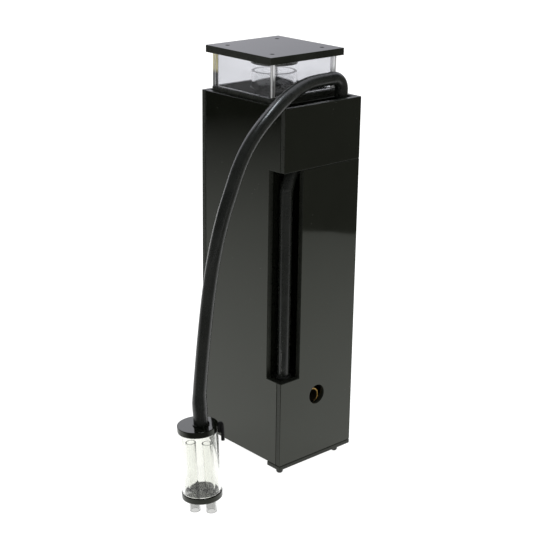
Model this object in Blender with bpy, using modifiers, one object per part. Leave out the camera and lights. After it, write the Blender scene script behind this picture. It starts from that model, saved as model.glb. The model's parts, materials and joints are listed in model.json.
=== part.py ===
"""Hang-on-back filter with a foam cup, built as separate pieces.

A slim casing of glued black acrylic panels holds a small needle-wheel pump at the bottom and a
bubble chamber above it. Foam rises through a clear neck into a square clear cup that lifts out,
under a loose lid. An air hose rises in a channel behind a notched corner, turns over the top
and comes down to a clear silencer that stands on the floor in front.

Metres, +Z up. The origin is the middle of the casing's footprint on the floor, -Y is the front,
and the hose channel is on the +X side.
"""

import math

import bmesh
import bpy
from mathutils import Matrix, Vector

MM = 0.001
GAP = 0.3 * MM            # air left between two pieces that touch

# ------------------------------------------------------------------ casing
BODY_W = 105 * MM         # along X
BODY_D = 86 * MM          # along Y
CASE_TOP = 324 * MM
PANEL_T = 5 * MM
FOOT_H = 4 * MM
FOOT_R = 3 * MM
FOOT_EDGE_Z = 1.8 * MM    # below this height the foot rounds in to its tread
FOOT_ROUND_R = 2.58 * MM
FOOT_ROUND_Z = 0.64 * MM
FOOT_TREAD_R = 1.8 * MM
FOOT_INSET = 4.5 * MM     # from the side face and from the front face
FOOT_REAR_INSET = 15 * MM
BAR_W = 16 * MM
BAR_T = 4 * MM

# ------------------------------------------------------------------ air hose's size
HOSE_OD = 11 * MM
HOSE_R = HOSE_OD / 2

# ------------------------------------------------------------------ hose channel and notch
CHANNEL_CLEAR = 2 * MM    # between the hose and the channel's walls
CHANNEL_W = HOSE_OD + 2 * CHANNEL_CLEAR
PARTITION_T = 2.5 * MM
PARTITION_DROP = 2 * MM   # the partition stops this far below the casing's top
NOTCH_FRONT = 18.2 * MM   # width of the notch in the front face
NOTCH_SIDE = 21.3 * MM    # width of the notch in the side face
NOTCH_LOW = 86 * MM
COVER_H = 53.2 * MM       # height of the casing's walls above the notch
NOTCH_HIGH = CASE_TOP - COVER_H
LEDGE_T = 5 * MM

# ------------------------------------------------------------------ air hose
HOSE_FRONT_INSET = PANEL_T + HOSE_R + 3.5 * MM   # its centre behind the front face, in the notch
HOSE_REAR_INSET = PANEL_T + HOSE_R + 1 * MM      # its centre before the back face, at the top
HOSE_SPACING = 2 * HOSE_OD     # distance between the points of the modelled tube
HOSE_DROP = 4 * MM             # the hose reaches this far below the ledge
GROMMET_WALL = 0.8 * MM
GROMMET_H = 8.5 * MM
ELBOW_OD = HOSE_OD + 0.4 * MM
ELBOW_BEND = 10.2 * MM         # centreline radius of the elbow at the top
ELBOW_RISE = 15.6 * MM         # its level leg above the casing's top
ELBOW_LEG = 3.5 * MM
ELBOW_FOOT = 1.6 * MM          # its upright leg starts this far above the casing's top
ELBOW_STEPS = 8
CROSSING_OUT = 10 * MM         # where the hose crosses the front edge, outwards of the channel
CROSSING_CLEAR = 0.9 * MM      # and above the casing's top

# ------------------------------------------------------------------ port, pump and chamber
PORT_Z = 65 * MM
PORT_R = 8.5 * MM
PUMP_Z = 61.5 * MM
PUMP_X = -2 * MM          # back face of the volute
MOTOR_LENGTH = 35.7 * MM
MOTOR_SIDE = 40 * MM
MOTOR_EDGE = 3 * MM
MAGNET_R = 8 * MM
MAGNET_LENGTH = 26 * MM
SHAFT_R = 1.5 * MM
SHAFT_LENGTH = 45 * MM
BUSH_T = 2.4 * MM
RUNNING_CLEAR = 0.7 * MM  # between the turning parts and what surrounds them
VOLUTE_R = 21 * MM
VOLUTE_DEPTH = 18 * MM
VOLUTE_WALL = 3 * MM
WHEEL_R = 13.5 * MM
WHEEL_DISC_T = 2.5 * MM
WHEEL_PIN_LENGTH = 6.5 * MM
WHEEL_PIN_R = 1.1 * MM
WHEEL_PINS = 10
PIN_STEPS = 8
INTAKE_R = 7.25 * MM
INTAKE_WALL = 1.25 * MM
OUTLET_R = 8 * MM
OUTLET_WALL = 2 * MM
OUTLET_RISE = 5 * MM      # the outlet pipe stands this far above the chamber floor
AIR_TUBE_R = 3.6 * MM
AIR_TUBE_BEND = 8 * MM
AIR_TUBE_STEPS = 6
CRADLE_T = 4 * MM
CRADLE_LENGTH = 30 * MM
CRADLE_WIDTH = 36 * MM
CHAMBER_FLOOR_Z = 90 * MM
CHAMBER_FLOOR_T = 4 * MM
BUBBLE_PLATE_Z = 108 * MM
BUBBLE_PLATE_T = 3 * MM
BUBBLE_HOLE_R = 2.4 * MM
BUBBLE_ROWS = 4
BUBBLE_PITCH = 15 * MM
BUBBLE_HOLE_STEPS = 10
DECK_T = 5 * MM
RETURN_W = 36 * MM
RETURN_H = 18 * MM
RETURN_Z = CASE_TOP - 62 * MM
CABLE_R = 3 * MM
CABLE_GROMMET_R = 6 * MM
CABLE_GROMMET_RIM = 2.4 * MM
CABLE_X = -28 * MM
CABLE_Z = 34 * MM

# ------------------------------------------------------------------ cup, neck and lid
FLANGE_CLEAR = 0.4 * MM   # between the flange and the walls around it
FLANGE_T = 8 * MM
FLANGE_PROUD = 3.6 * MM   # the flange stands this far above the casing's top
FLANGE_CORNER = 3 * MM
CORNER_STEPS = 4
CUP_INSET = 1.6 * MM      # cup wall behind the flange's edge
CUP_WALL = 4 * MM
CUP_H = 27.7 * MM
NECK_R = 18 * MM
NECK_WALL = 2.5 * MM
NECK_DIP = 11 * MM        # below the deck plate
NECK_RISE = 14.5 * MM     # above the flange
SEAL_WALL = 2.4 * MM
SEAL_T = 2.6 * MM
SEAL_SPACE = 3.6 * MM     # between the deck plate and the flange
LID_OVER_X = 4.25 * MM    # the lid stands this far past the cup's walls
LID_OVER_Y = 4.2 * MM
LID_T = 6 * MM
LID_PLUG_R = 18.8 * MM
LID_PLUG_T = 7.2 * MM
VENT_R = 1.9 * MM
VENT_PITCH = 56 * MM

# ------------------------------------------------------------------ silencer at the hose's end
SILENCER_ASIDE = 18.2 * MM # outwards of the hose channel
SILENCER_OUT = 89.6 * MM  # in front of the casing's front face
SILENCER_HEADING = math.radians(36)
SILENCER_LEAN = math.radians(3.5)
SILENCER_LIFT = 0.75 * MM # the leaning pair of tubes touches the floor with one edge
SILENCER_R = 16.3 * MM
SILENCER_WALL = 2.3 * MM
SILENCER_CAP_R = SILENCER_R + 0.5 * MM
SILENCER_CAP_T = 5 * MM
SILENCER_H = 78 * MM
SUCTION_R = 4.4 * MM
SUCTION_WALL = 1 * MM
SUCTION_PITCH = 14 * MM
SUCTION_BELOW = 14 * MM
SUCTION_LENGTH = 62 * MM
NIPPLE_R = 6.2 * MM
NIPPLE_NECK_R = 4.6 * MM
NIPPLE_H = 7.7 * MM
NIPPLE_OFFSET = 3 * MM
HOOK_R = 1.5 * MM
HOOK_Y = -1.68 * MM

ROUND_STEPS = 32
SMALL_STEPS = 16
SPLINE_DETAIL = 24
LINK_OVERLAP = 0.5 * MM   # how far a joined shape or a cutter passes its neighbour's face

# Places worked out from the sizes above.
HALF_W = BODY_W / 2
HALF_D = BODY_D / 2
PANEL_BOTTOM = FOOT_H + BAR_T
INNER_X = HALF_W - PANEL_T
INNER_Y = HALF_D - PANEL_T
PARTITION_OUT = INNER_X - CHANNEL_W
PARTITION_IN = PARTITION_OUT - PARTITION_T
CHANNEL_X = (INNER_X + PARTITION_OUT) / 2
HOSE_FRONT_Y = -HALF_D + HOSE_FRONT_INSET
HOSE_REAR_Y = HALF_D - HOSE_REAR_INSET
LEDGE_Z = NOTCH_LOW - LEDGE_T
HOSE_BOTTOM = LEDGE_Z - HOSE_DROP
ELBOW_LOW = CASE_TOP + ELBOW_FOOT
ELBOW_HIGH = CASE_TOP + ELBOW_RISE
FREE_START_Y = HOSE_REAR_Y - ELBOW_BEND - ELBOW_LEG - GAP
VOLUTE_FRONT = PUMP_X + VOLUTE_DEPTH
CUP_X = (PARTITION_IN - INNER_X) / 2
FLANGE_HALF_X = (PARTITION_IN + INNER_X) / 2 - FLANGE_CLEAR
FLANGE_HALF_Y = INNER_Y - FLANGE_CLEAR
FLANGE_TOP = CASE_TOP + FLANGE_PROUD
FLANGE_BOTTOM = FLANGE_TOP - FLANGE_T
DECK_Z = FLANGE_BOTTOM - SEAL_SPACE - DECK_T
CUP_HALF_X = FLANGE_HALF_X - CUP_INSET
CUP_HALF_Y = FLANGE_HALF_Y - CUP_INSET / 2
CUP_BOTTOM = FLANGE_TOP + GAP
CUP_TOP = CUP_BOTTOM + CUP_H
LID_BOTTOM = CUP_TOP + GAP
SILENCER_BASE = Vector((CHANNEL_X + SILENCER_ASIDE, -HALF_D - SILENCER_OUT, SILENCER_LIFT))
SILENCER_TURN = Matrix.Rotation(SILENCER_HEADING, 4, "Z") @ Matrix.Rotation(-SILENCER_LEAN, 4, "Y")
NIPPLE_TOP = SILENCER_H + GAP + NIPPLE_H

# Route of the free hose, in millimetres: level out of the elbow, over the front edge in one
# long arch, and down to the silencer. Its ends are carried to the elbow and the nipple, and its
# point CROSSING to a place just above the casing's front edge.
CROSSING = 5
FREE_ROUTE_MM = (
    (40.25, 17.5, 339.6), (40.3, 6.0, 339.5), (41.1, -7.0, 338.8), (43.6, -20.5, 336.6),
    (47.2, -33.5, 333.3), (50.0, -43.0, 330.4), (52.6, -52.0, 326.7), (54.7, -61.5, 321.6),
    (56.2, -71.5, 315.0), (57.2, -81.0, 306.9), (57.8, -90.0, 296.0), (58.0, -97.5, 283.0),
    (58.0, -104.0, 268.0), (57.9, -110.5, 252.0), (57.7, -117.0, 231.5), (57.4, -122.2, 209.0),
    (57.1, -126.6, 182.0), (56.9, -130.1, 154.0), (56.5, -132.8, 126.0), (55.9, -134.2, 105.0),
    (56.4, -133.9, 87.0),
)
# Bend of the hose behind the upper cover, as (back along Y, up) from where it starts to lean.
RISE_BEND_MM = (
    (0.0, 0.0), (1.4, 10.4), (5.4, 20.0), (14.3, 30.6), (30.2, 38.8), (46.2, 46.7), (55.4, 56.4),
    (59.7, 66.0), (60.5, 73.0), (60.5, 80.0),
)

# Hook on the silencer's rim, as (out, up) from its own place at the top of the silencer: up past
# the cap, over a small loop and down again.
HOOK_PATH_MM = ((0.0, -5.0), (0.0, 2.25), (1.5, 3.75), (3.3, 2.25), (3.6, -5.1), (3.6, -12.0))

# Finish of each kind of piece: colour, roughness, metallic, alpha.
FINISHES = {
    "black_acrylic": ((0.006, 0.006, 0.006), 0.06, 0.0, 1.0),
    "clear_acrylic": ((0.86, 0.87, 0.86), 0.04, 0.0, 0.35),
    "black_rubber": ((0.016, 0.018, 0.016), 0.45, 0.0, 1.0),
    "amber_seal": ((0.45, 0.28, 0.06), 0.35, 0.0, 1.0),
    "pump_plastic": ((0.02, 0.02, 0.022), 0.5, 0.0, 1.0),
    "wheel_plastic": ((0.7, 0.7, 0.68), 0.4, 0.0, 1.0),
    "magnet_ferrite": ((0.08, 0.08, 0.085), 0.55, 0.3, 1.0),
    "shaft_ceramic": ((0.85, 0.84, 0.8), 0.25, 0.0, 1.0),
}


# ------------------------------------------------------------------ tools
def clear_scene():
    for obj in list(bpy.data.objects):
        bpy.data.objects.remove(obj, do_unlink=True)


def new_collection(name):
    collection = bpy.data.collections.new(name)
    bpy.context.scene.collection.children.link(collection)
    return collection


def make_finish(name):
    colour, roughness, metallic, alpha = FINISHES[name]
    material = bpy.data.materials.new(name)
    material.use_nodes = True
    shader = material.node_tree.nodes["Principled BSDF"]
    shader.inputs["Base Color"].default_value = (*colour, 1.0)
    shader.inputs["Roughness"].default_value = roughness
    shader.inputs["Metallic"].default_value = metallic
    shader.inputs["Alpha"].default_value = alpha
    material.diffuse_color = (*colour, alpha)
    return material


def add_piece(name, data, finish, location=(0, 0, 0)):
    """Put a mesh or a curve into the filter's collection, with a material of its own."""
    obj = bpy.data.objects.new(name, data)
    obj.location = location
    data.materials.append(make_finish(finish))
    PARTS.objects.link(obj)
    return obj


def add_cutter(name, data, location=(0, 0, 0)):
    obj = bpy.data.objects.new(name, data)
    obj.location = location
    obj.hide_render = True
    obj.display_type = "WIRE"
    CUTTERS.objects.link(obj)
    return obj


def box_mesh(name, size):
    mesh = bpy.data.meshes.new(name)
    shape = bmesh.new()
    bmesh.ops.create_cube(shape, size=1.0)
    bmesh.ops.scale(shape, vec=size, verts=shape.verts)
    shape.to_mesh(mesh)
    shape.free()
    return mesh


def box(name, low, high, finish):
    low, high = Vector(low), Vector(high)
    return add_piece(name, box_mesh(name, high - low), finish, (low + high) / 2)


def box_cutter(name, low, high):
    low, high = Vector(low), Vector(high)
    return add_cutter(name, box_mesh(name, high - low), (low + high) / 2)


def point_along(obj, axis):
    """Turn an object that was built round Z so that it lies along the named axis."""
    turns = {"X": (0, math.pi / 2, 0), "Y": (-math.pi / 2, 0, 0), "Z": (0, 0, 0)}
    obj.rotation_euler = turns[axis]


def pins_mesh(name, centres, radius, low, high, steps):
    """Upright cylinders from low to high at each (x, y) centre, in one mesh."""
    mesh = bpy.data.meshes.new(name)
    shape = bmesh.new()
    for x, y in centres:
        place = Matrix.Translation((x, y, (low + high) / 2))
        bmesh.ops.create_cone(
            shape, cap_ends=True, segments=steps, radius1=radius, radius2=radius,
            depth=high - low, matrix=place,
        )
    shape.to_mesh(mesh)
    shape.free()
    return mesh


def round_cutter(name, radius, length, location, axis="Z", steps=ROUND_STEPS):
    mesh = pins_mesh(name, [(0, 0)], radius, -length / 2, length / 2, steps)
    obj = add_cutter(name, mesh, location)
    point_along(obj, axis)
    return obj


def combine(obj, other, operation="DIFFERENCE"):
    modifier = obj.modifiers.new(other.name, "BOOLEAN")
    modifier.operation = operation
    modifier.object = other
    modifier.solver = "EXACT"


def turned(name, profile, finish, location=(0, 0, 0), axis="Z", steps=ROUND_STEPS):
    """Turn a profile of (radius, height) points round the axis. It runs down the outer side.

    A profile that starts and ends on the axis makes a solid, any other closes into a ring.
    """
    mesh = bpy.data.meshes.new(name)
    shape = bmesh.new()
    verts = [shape.verts.new((radius, 0, height)) for radius, height in profile]
    for start, end in zip(verts, verts[1:]):
        shape.edges.new((start, end))
    if profile[0][0] > 0:
        shape.edges.new((verts[-1], verts[0]))
    shape.to_mesh(mesh)
    shape.free()
    obj = add_piece(name, mesh, finish, location)
    point_along(obj, axis)
    screw = obj.modifiers.new("turn", "SCREW")
    screw.steps = steps
    screw.render_steps = steps
    screw.use_merge_vertices = True
    screw.merge_threshold = 0.00001
    return obj


def ring_profile(outer, inner, low, high):
    return [(outer, high), (outer, low), (inner, low), (inner, high)]


def disc_profile(radius, low, high):
    return [(0, high), (radius, high), (radius, low), (0, low)]


def smooth_route(points, spacing):
    """Read evenly spaced points from the smooth curve through the route's own points."""
    ends = [points[0] * 2 - points[1], *points, points[-1] * 2 - points[-2]]
    fine = []
    for before, start, end, after in zip(ends, ends[1:], ends[2:], ends[3:]):
        for step in range(SPLINE_DETAIL):
            t = step / SPLINE_DETAIL
            fine.append(0.5 * (
                2 * start + (end - before) * t
                + (2 * before - 5 * start + 4 * end - after) * t ** 2
                + (3 * start - before - 3 * end + after) * t ** 3
            ))
    fine.append(points[-1])
    travelled = [0.0]
    for start, end in zip(fine, fine[1:]):
        travelled.append(travelled[-1] + (end - start).length)
    count = max(2, round(travelled[-1] / spacing))
    route = []
    index = 0
    for step in range(count):
        goal = travelled[-1] * step / count
        while travelled[index + 1] < goal:
            index += 1
        share = (goal - travelled[index]) / (travelled[index + 1] - travelled[index])
        route.append(fine[index].lerp(fine[index + 1], share))
    route.append(points[-1])
    return route


def carried_route(points, anchors):
    """Shift a route so that the point of each (index, place) anchor lies on its place.

    The anchors run from the first point to the last, and the shift is shared out between them.
    """
    moved = []
    for (first, start), (last, end) in zip(anchors, anchors[1:]):
        for index in range(first, last):
            share = (index - first) / (last - first)
            shift = (start - points[first]) * (1 - share) + (end - points[last]) * share
            moved.append(points[index] + shift)
    moved.append(anchors[-1][1])
    return moved


def rod(name, points, radius, finish, detail=3):
    """A round bar, tube or hose along the points, with closed ends."""
    curve = bpy.data.curves.new(name, "CURVE")
    curve.dimensions = "3D"
    curve.bevel_depth = radius
    curve.bevel_resolution = detail
    curve.use_fill_caps = True
    spline = curve.splines.new("POLY")
    spline.points.add(len(points) - 1)
    for spline_point, place in zip(spline.points, points):
        spline_point.co = (*place, 1.0)
    return add_piece(name, curve, finish)


def arc(centre, radius, start, end, steps):
    """Points (u, v) of an arc between two angles in degrees."""
    angles = [math.radians(start + (end - start) * step / steps) for step in range(steps + 1)]
    return [(centre[0] + radius * math.cos(a), centre[1] + radius * math.sin(a)) for a in angles]


def flat_outline(name, outline, thickness, finish, location, axis="Z"):
    """A plate with the given (u, v) outline, centred on its thickness."""
    curve = bpy.data.curves.new(name, "CURVE")
    curve.dimensions = "2D"
    curve.fill_mode = "BOTH"
    curve.extrude = thickness / 2
    spline = curve.splines.new("POLY")
    spline.points.add(len(outline) - 1)
    for spline_point, (u, v) in zip(spline.points, outline):
        spline_point.co = (u, v, 0, 1.0)
    spline.use_cyclic_u = True
    obj = add_piece(name, curve, finish, location)
    turns = {"X": (math.pi / 2, 0, math.pi / 2), "Z": (0, 0, 0)}
    obj.rotation_euler = turns[axis]
    return obj


def as_mesh(obj):
    """Replace a curve piece by the same piece as a welded mesh, so that it can be cut."""
    bpy.context.view_layer.update()
    evaluated = obj.evaluated_get(bpy.context.evaluated_depsgraph_get())
    mesh = bpy.data.meshes.new_from_object(evaluated)
    shape = bmesh.new()
    shape.from_mesh(mesh)
    bmesh.ops.remove_doubles(shape, verts=shape.verts, dist=0.00001)
    shape.to_mesh(mesh)
    shape.free()
    name = obj.name
    solid = bpy.data.objects.new(name + "_mesh", mesh)
    solid.matrix_world = obj.matrix_world.copy()
    PARTS.objects.link(solid)
    bpy.data.objects.remove(obj, do_unlink=True)
    solid.name = name
    return solid


def joint_empty(name, location):
    empty = bpy.data.objects.new(name, None)
    empty.location = location
    empty.empty_display_size = 10 * MM
    PARTS.objects.link(empty)
    return empty


def carry(pieces, empty):
    """Parent pieces that are already in place to an empty that isn't turned."""
    for piece in pieces:
        piece.parent = empty
        piece.matrix_parent_inverse = Matrix.Translation(empty.location).inverted()


# ------------------------------------------------------------------ casing
def build_front_panel():
    panel = box(
        "front_panel", (-INNER_X, -HALF_D, PANEL_BOTTOM), (INNER_X, -INNER_Y - GAP, CASE_TOP),
        "black_acrylic",
    )
    notch = box_cutter(
        "front_notch_cutter",
        (HALF_W - NOTCH_FRONT, -HALF_D - PANEL_T, NOTCH_LOW),
        (HALF_W + PANEL_T, -INNER_Y + PANEL_T, NOTCH_HIGH),
    )
    combine(panel, notch)


def build_back_panel():
    panel = box(
        "back_panel", (-INNER_X, INNER_Y + GAP, PANEL_BOTTOM), (INNER_X, HALF_D, CASE_TOP),
        "black_acrylic",
    )
    window = box_cutter(
        "return_window_cutter",
        (CUP_X - RETURN_W / 2, INNER_Y - PANEL_T, RETURN_Z - RETURN_H / 2),
        (CUP_X + RETURN_W / 2, HALF_D + PANEL_T, RETURN_Z + RETURN_H / 2),
    )
    combine(panel, window)
    cable = round_cutter(
        "cable_hole_cutter", CABLE_GROMMET_R + GAP, 4 * PANEL_T, (CABLE_X, HALF_D, CABLE_Z), "Y",
        SMALL_STEPS,
    )
    combine(panel, cable)


def build_side_panels():
    box(
        "left_panel", (-HALF_W, -HALF_D, PANEL_BOTTOM), (-INNER_X - GAP, HALF_D, CASE_TOP),
        "black_acrylic",
    )
    lower = box(
        "channel_panel_lower",
        (INNER_X + GAP, -HALF_D, PANEL_BOTTOM), (HALF_W, HALF_D, NOTCH_HIGH), "black_acrylic",
    )
    notch = box_cutter(
        "side_notch_cutter",
        (INNER_X - PANEL_T, -HALF_D - PANEL_T, NOTCH_LOW),
        (HALF_W + PANEL_T, -HALF_D + NOTCH_SIDE, NOTCH_HIGH + PANEL_T),
    )
    combine(lower, notch)
    port = round_cutter("port_cutter", PORT_R, 4 * PANEL_T, (HALF_W, 0, PORT_Z), "X")
    combine(lower, port)
    box(
        "channel_panel_upper",
        (INNER_X + GAP, -HALF_D, NOTCH_HIGH + GAP), (HALF_W, HALF_D, CASE_TOP), "black_acrylic",
    )


def build_base():
    box(
        "base_plate", (-INNER_X + GAP, -INNER_Y + GAP, PANEL_BOTTOM),
        (INNER_X - GAP, INNER_Y - GAP, PANEL_BOTTOM + PANEL_T), "black_acrylic",
    )
    foot_profile = [
        (0, FOOT_H - GAP), (FOOT_R, FOOT_H - GAP), (FOOT_R, FOOT_EDGE_Z),
        (FOOT_ROUND_R, FOOT_ROUND_Z), (FOOT_TREAD_R, 0), (0, 0),
    ]
    for side, word in ((-1, "left"), (1, "right")):
        near, far = sorted((side * HALF_W, side * (HALF_W - BAR_W)))
        box(
            "base_bar_" + word, (near, -HALF_D, FOOT_H), (far, HALF_D, PANEL_BOTTOM - GAP),
            "black_acrylic",
        )
        foot_x = side * (HALF_W - FOOT_INSET)
        foot_places = (("front", FOOT_INSET - HALF_D), ("rear", HALF_D - FOOT_REAR_INSET))
        for end, foot_y in foot_places:
            turned(
                "foot_%s_%s" % (end, word), foot_profile, "black_rubber", (foot_x, foot_y, 0),
                steps=SMALL_STEPS,
            )


def build_channel():
    box(
        "partition", (PARTITION_IN, -INNER_Y + GAP, LEDGE_Z),
        (PARTITION_OUT, INNER_Y - GAP, CASE_TOP - PARTITION_DROP), "black_acrylic",
    )
    ledge = box(
        "channel_ledge", (PARTITION_OUT + GAP, -INNER_Y + GAP, LEDGE_Z),
        (INNER_X - GAP, INNER_Y - GAP, NOTCH_LOW), "black_acrylic",
    )
    sleeve_r = HOSE_R + GAP + GROMMET_WALL
    hole = round_cutter(
        "ledge_hole_cutter", sleeve_r + GAP / 2, 4 * LEDGE_T, (CHANNEL_X, HOSE_FRONT_Y, LEDGE_Z),
    )
    combine(ledge, hole)
    turned(
        "hose_grommet", ring_profile(sleeve_r, HOSE_R + GAP, 0, GROMMET_H), "black_rubber",
        (CHANNEL_X, HOSE_FRONT_Y, LEDGE_Z - (GROMMET_H - LEDGE_T) / 2),
    )


# ------------------------------------------------------------------ air hose
def hose_lean_start():
    """Height at which the hose leaves the vertical, so that its bend ends at the elbow."""
    return ELBOW_LOW - GAP - RISE_BEND_MM[-1][1] * MM


def build_inner_hose():
    lean_z = hose_lean_start()
    points = [Vector((CHANNEL_X, HOSE_FRONT_Y, HOSE_BOTTOM))]
    points.append(points[0].lerp(Vector((CHANNEL_X, HOSE_FRONT_Y, lean_z)), 0.5))
    reach = (HOSE_REAR_Y - HOSE_FRONT_Y) / (RISE_BEND_MM[-1][0] * MM)
    for back, up in RISE_BEND_MM:
        points.append(Vector((
            CHANNEL_X, HOSE_FRONT_Y + back * MM * reach, lean_z + up * MM,
        )))
    rod("inner_hose", smooth_route(points, HOSE_OD), HOSE_R, "black_rubber")


def build_hose_elbow():
    bend = arc((HOSE_REAR_Y - ELBOW_BEND, ELBOW_HIGH - ELBOW_BEND), ELBOW_BEND, 0, 90, ELBOW_STEPS)
    points = [Vector((CHANNEL_X, HOSE_REAR_Y, ELBOW_LOW))]
    points += [Vector((CHANNEL_X, y, z)) for y, z in bend]
    points.append(Vector((CHANNEL_X, FREE_START_Y + GAP, ELBOW_HIGH)))
    rod("hose_elbow", points, ELBOW_OD / 2, "black_rubber", 4)


def build_free_hose():
    start = Vector((CHANNEL_X, FREE_START_Y, ELBOW_HIGH))
    nipple = Vector((NIPPLE_OFFSET, 0, NIPPLE_TOP + 2 * GAP))
    end = SILENCER_BASE + SILENCER_TURN @ nipple
    crossing = Vector((CHANNEL_X + CROSSING_OUT, -HALF_D, CASE_TOP + HOSE_R + CROSSING_CLEAR))
    chosen = [Vector(point) * MM for point in FREE_ROUTE_MM]
    anchors = ((0, start), (CROSSING, crossing), (len(chosen) - 1, end))
    route = smooth_route(carried_route(chosen, anchors), HOSE_SPACING)
    rod("free_hose", route, HOSE_R, "black_rubber")


# ------------------------------------------------------------------ pump
def build_pump_housing():
    motor = add_piece(
        "motor_block", box_mesh("motor_block", (MOTOR_LENGTH, MOTOR_SIDE, MOTOR_SIDE)),
        "pump_plastic", (PUMP_X - GAP - MOTOR_LENGTH / 2, 0, PUMP_Z),
    )
    edge = motor.modifiers.new("edge", "BEVEL")
    edge.width = MOTOR_EDGE
    edge.segments = 2
    well_depth = MAGNET_LENGTH + BUSH_T + 3 * RUNNING_CLEAR
    well_centre = PUMP_X - GAP - well_depth / 2 + LINK_OVERLAP
    well = round_cutter(
        "magnet_well_cutter", MAGNET_R + RUNNING_CLEAR, well_depth + 2 * LINK_OVERLAP,
        (well_centre, 0, PUMP_Z), "X",
    )
    combine(motor, well)

    cavity_r = WHEEL_R + 3 * RUNNING_CLEAR
    bush_r = MAGNET_R + RUNNING_CLEAR
    volute = turned(
        "pump_volute",
        [
            (VOLUTE_R, VOLUTE_DEPTH), (VOLUTE_R, 0), (bush_r, 0), (bush_r, VOLUTE_WALL),
            (cavity_r, VOLUTE_WALL), (cavity_r, VOLUTE_DEPTH),
        ],
        "pump_plastic", (PUMP_X, 0, PUMP_Z), "X",
    )
    outlet_x = (PUMP_X + VOLUTE_WALL + VOLUTE_FRONT) / 2
    outlet = round_cutter(
        "volute_outlet_cutter", OUTLET_R - OUTLET_WALL, VOLUTE_R,
        (outlet_x, 0, PUMP_Z + cavity_r), steps=SMALL_STEPS,
    )
    combine(volute, outlet)
    inlet_r = INTAKE_R - INTAKE_WALL
    turned(
        "volute_cover", ring_profile(VOLUTE_R, inlet_r, 0, VOLUTE_WALL), "pump_plastic",
        (VOLUTE_FRONT + GAP, 0, PUMP_Z), "X",
    )
    pipe_bottom = PUMP_Z + VOLUTE_R + GAP
    pipe_top = CHAMBER_FLOOR_Z + CHAMBER_FLOOR_T + OUTLET_RISE
    turned(
        "outlet_pipe",
        ring_profile(OUTLET_R, OUTLET_R - OUTLET_WALL, 0, pipe_top - pipe_bottom),
        "pump_plastic", (outlet_x, 0, pipe_bottom),
    )
    return outlet_x


def build_intake():
    pipe_start = VOLUTE_FRONT + VOLUTE_WALL + 2 * GAP
    pipe_end = INNER_X - 2 * GAP
    turned(
        "intake_pipe",
        ring_profile(INTAKE_R, INTAKE_R - INTAKE_WALL, 0, pipe_end - pipe_start), "amber_seal",
        (pipe_start, 0, PUMP_Z), "X",
    )
    corner = (HOSE_FRONT_Y + AIR_TUBE_BEND, PUMP_Z + AIR_TUBE_BEND)
    points = [Vector((CHANNEL_X, HOSE_FRONT_Y, HOSE_BOTTOM - GAP))]
    bend = arc(corner, AIR_TUBE_BEND, 180, 270, AIR_TUBE_STEPS)
    points += [Vector((CHANNEL_X, y, z)) for y, z in bend]
    points.append(Vector((CHANNEL_X, -INTAKE_R - GAP, PUMP_Z)))
    rod("air_inlet_tube", points, AIR_TUBE_R, "pump_plastic", 2)


def build_rotor():
    axis_place = Vector((PUMP_X, 0, PUMP_Z))
    bush_r = MAGNET_R + RUNNING_CLEAR - GAP
    bore_r = SHAFT_R + GAP
    rear_bush_x = PUMP_X - GAP - MAGNET_LENGTH - BUSH_T - 2 * RUNNING_CLEAR
    bush_places = (("rear", rear_bush_x), ("front", PUMP_X + GAP))
    for word, bush_x in bush_places:
        turned(
            "shaft_bush_" + word, ring_profile(bush_r, bore_r, 0, BUSH_T), "shaft_ceramic",
            (bush_x, 0, PUMP_Z), "X", SMALL_STEPS,
        )
    magnet = turned(
        "rotor_magnet", ring_profile(MAGNET_R, bore_r, 0, MAGNET_LENGTH), "magnet_ferrite",
        (rear_bush_x + BUSH_T + RUNNING_CLEAR, 0, PUMP_Z), "X",
    )
    shaft = turned(
        "rotor_shaft", disc_profile(SHAFT_R, 0, SHAFT_LENGTH), "shaft_ceramic",
        (rear_bush_x + GAP, 0, PUMP_Z), "X", SMALL_STEPS,
    )
    wheel_x = PUMP_X + VOLUTE_WALL + 3 * RUNNING_CLEAR
    wheel = turned(
        "needle_wheel", ring_profile(WHEEL_R, bore_r, 0, WHEEL_DISC_T), "wheel_plastic",
        (wheel_x, 0, PUMP_Z), "X",
    )
    circle_r = WHEEL_R - 2 * WHEEL_PIN_R
    turns = [2 * math.pi * index / WHEEL_PINS for index in range(WHEEL_PINS)]
    centres = [(circle_r * math.cos(a), circle_r * math.sin(a)) for a in turns]
    pins = add_cutter(
        "needle_pins",
        pins_mesh(
            "needle_pins", centres, WHEEL_PIN_R, WHEEL_DISC_T - LINK_OVERLAP,
            WHEEL_DISC_T + WHEEL_PIN_LENGTH, PIN_STEPS,
        ),
        (wheel_x, 0, PUMP_Z),
    )
    point_along(pins, "X")
    combine(wheel, pins, "UNION")
    carry((magnet, shaft, wheel, pins), joint_empty("rotor_joint", axis_place))


def build_pump_cradle():
    floor = PANEL_BOTTOM + PANEL_T + GAP
    top = PUMP_Z - MOTOR_SIDE / 2 - GAP
    half = CRADLE_WIDTH / 2
    outline = [
        (-half, floor), (-half + CRADLE_T, floor), (-half + CRADLE_T, top - CRADLE_T),
        (half - CRADLE_T, top - CRADLE_T), (half - CRADLE_T, floor), (half, floor), (half, top),
        (-half, top),
    ]
    motor_centre = PUMP_X - GAP - MOTOR_LENGTH / 2
    flat_outline("pump_cradle", outline, CRADLE_LENGTH, "pump_plastic", (motor_centre, 0, 0), "X")


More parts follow.
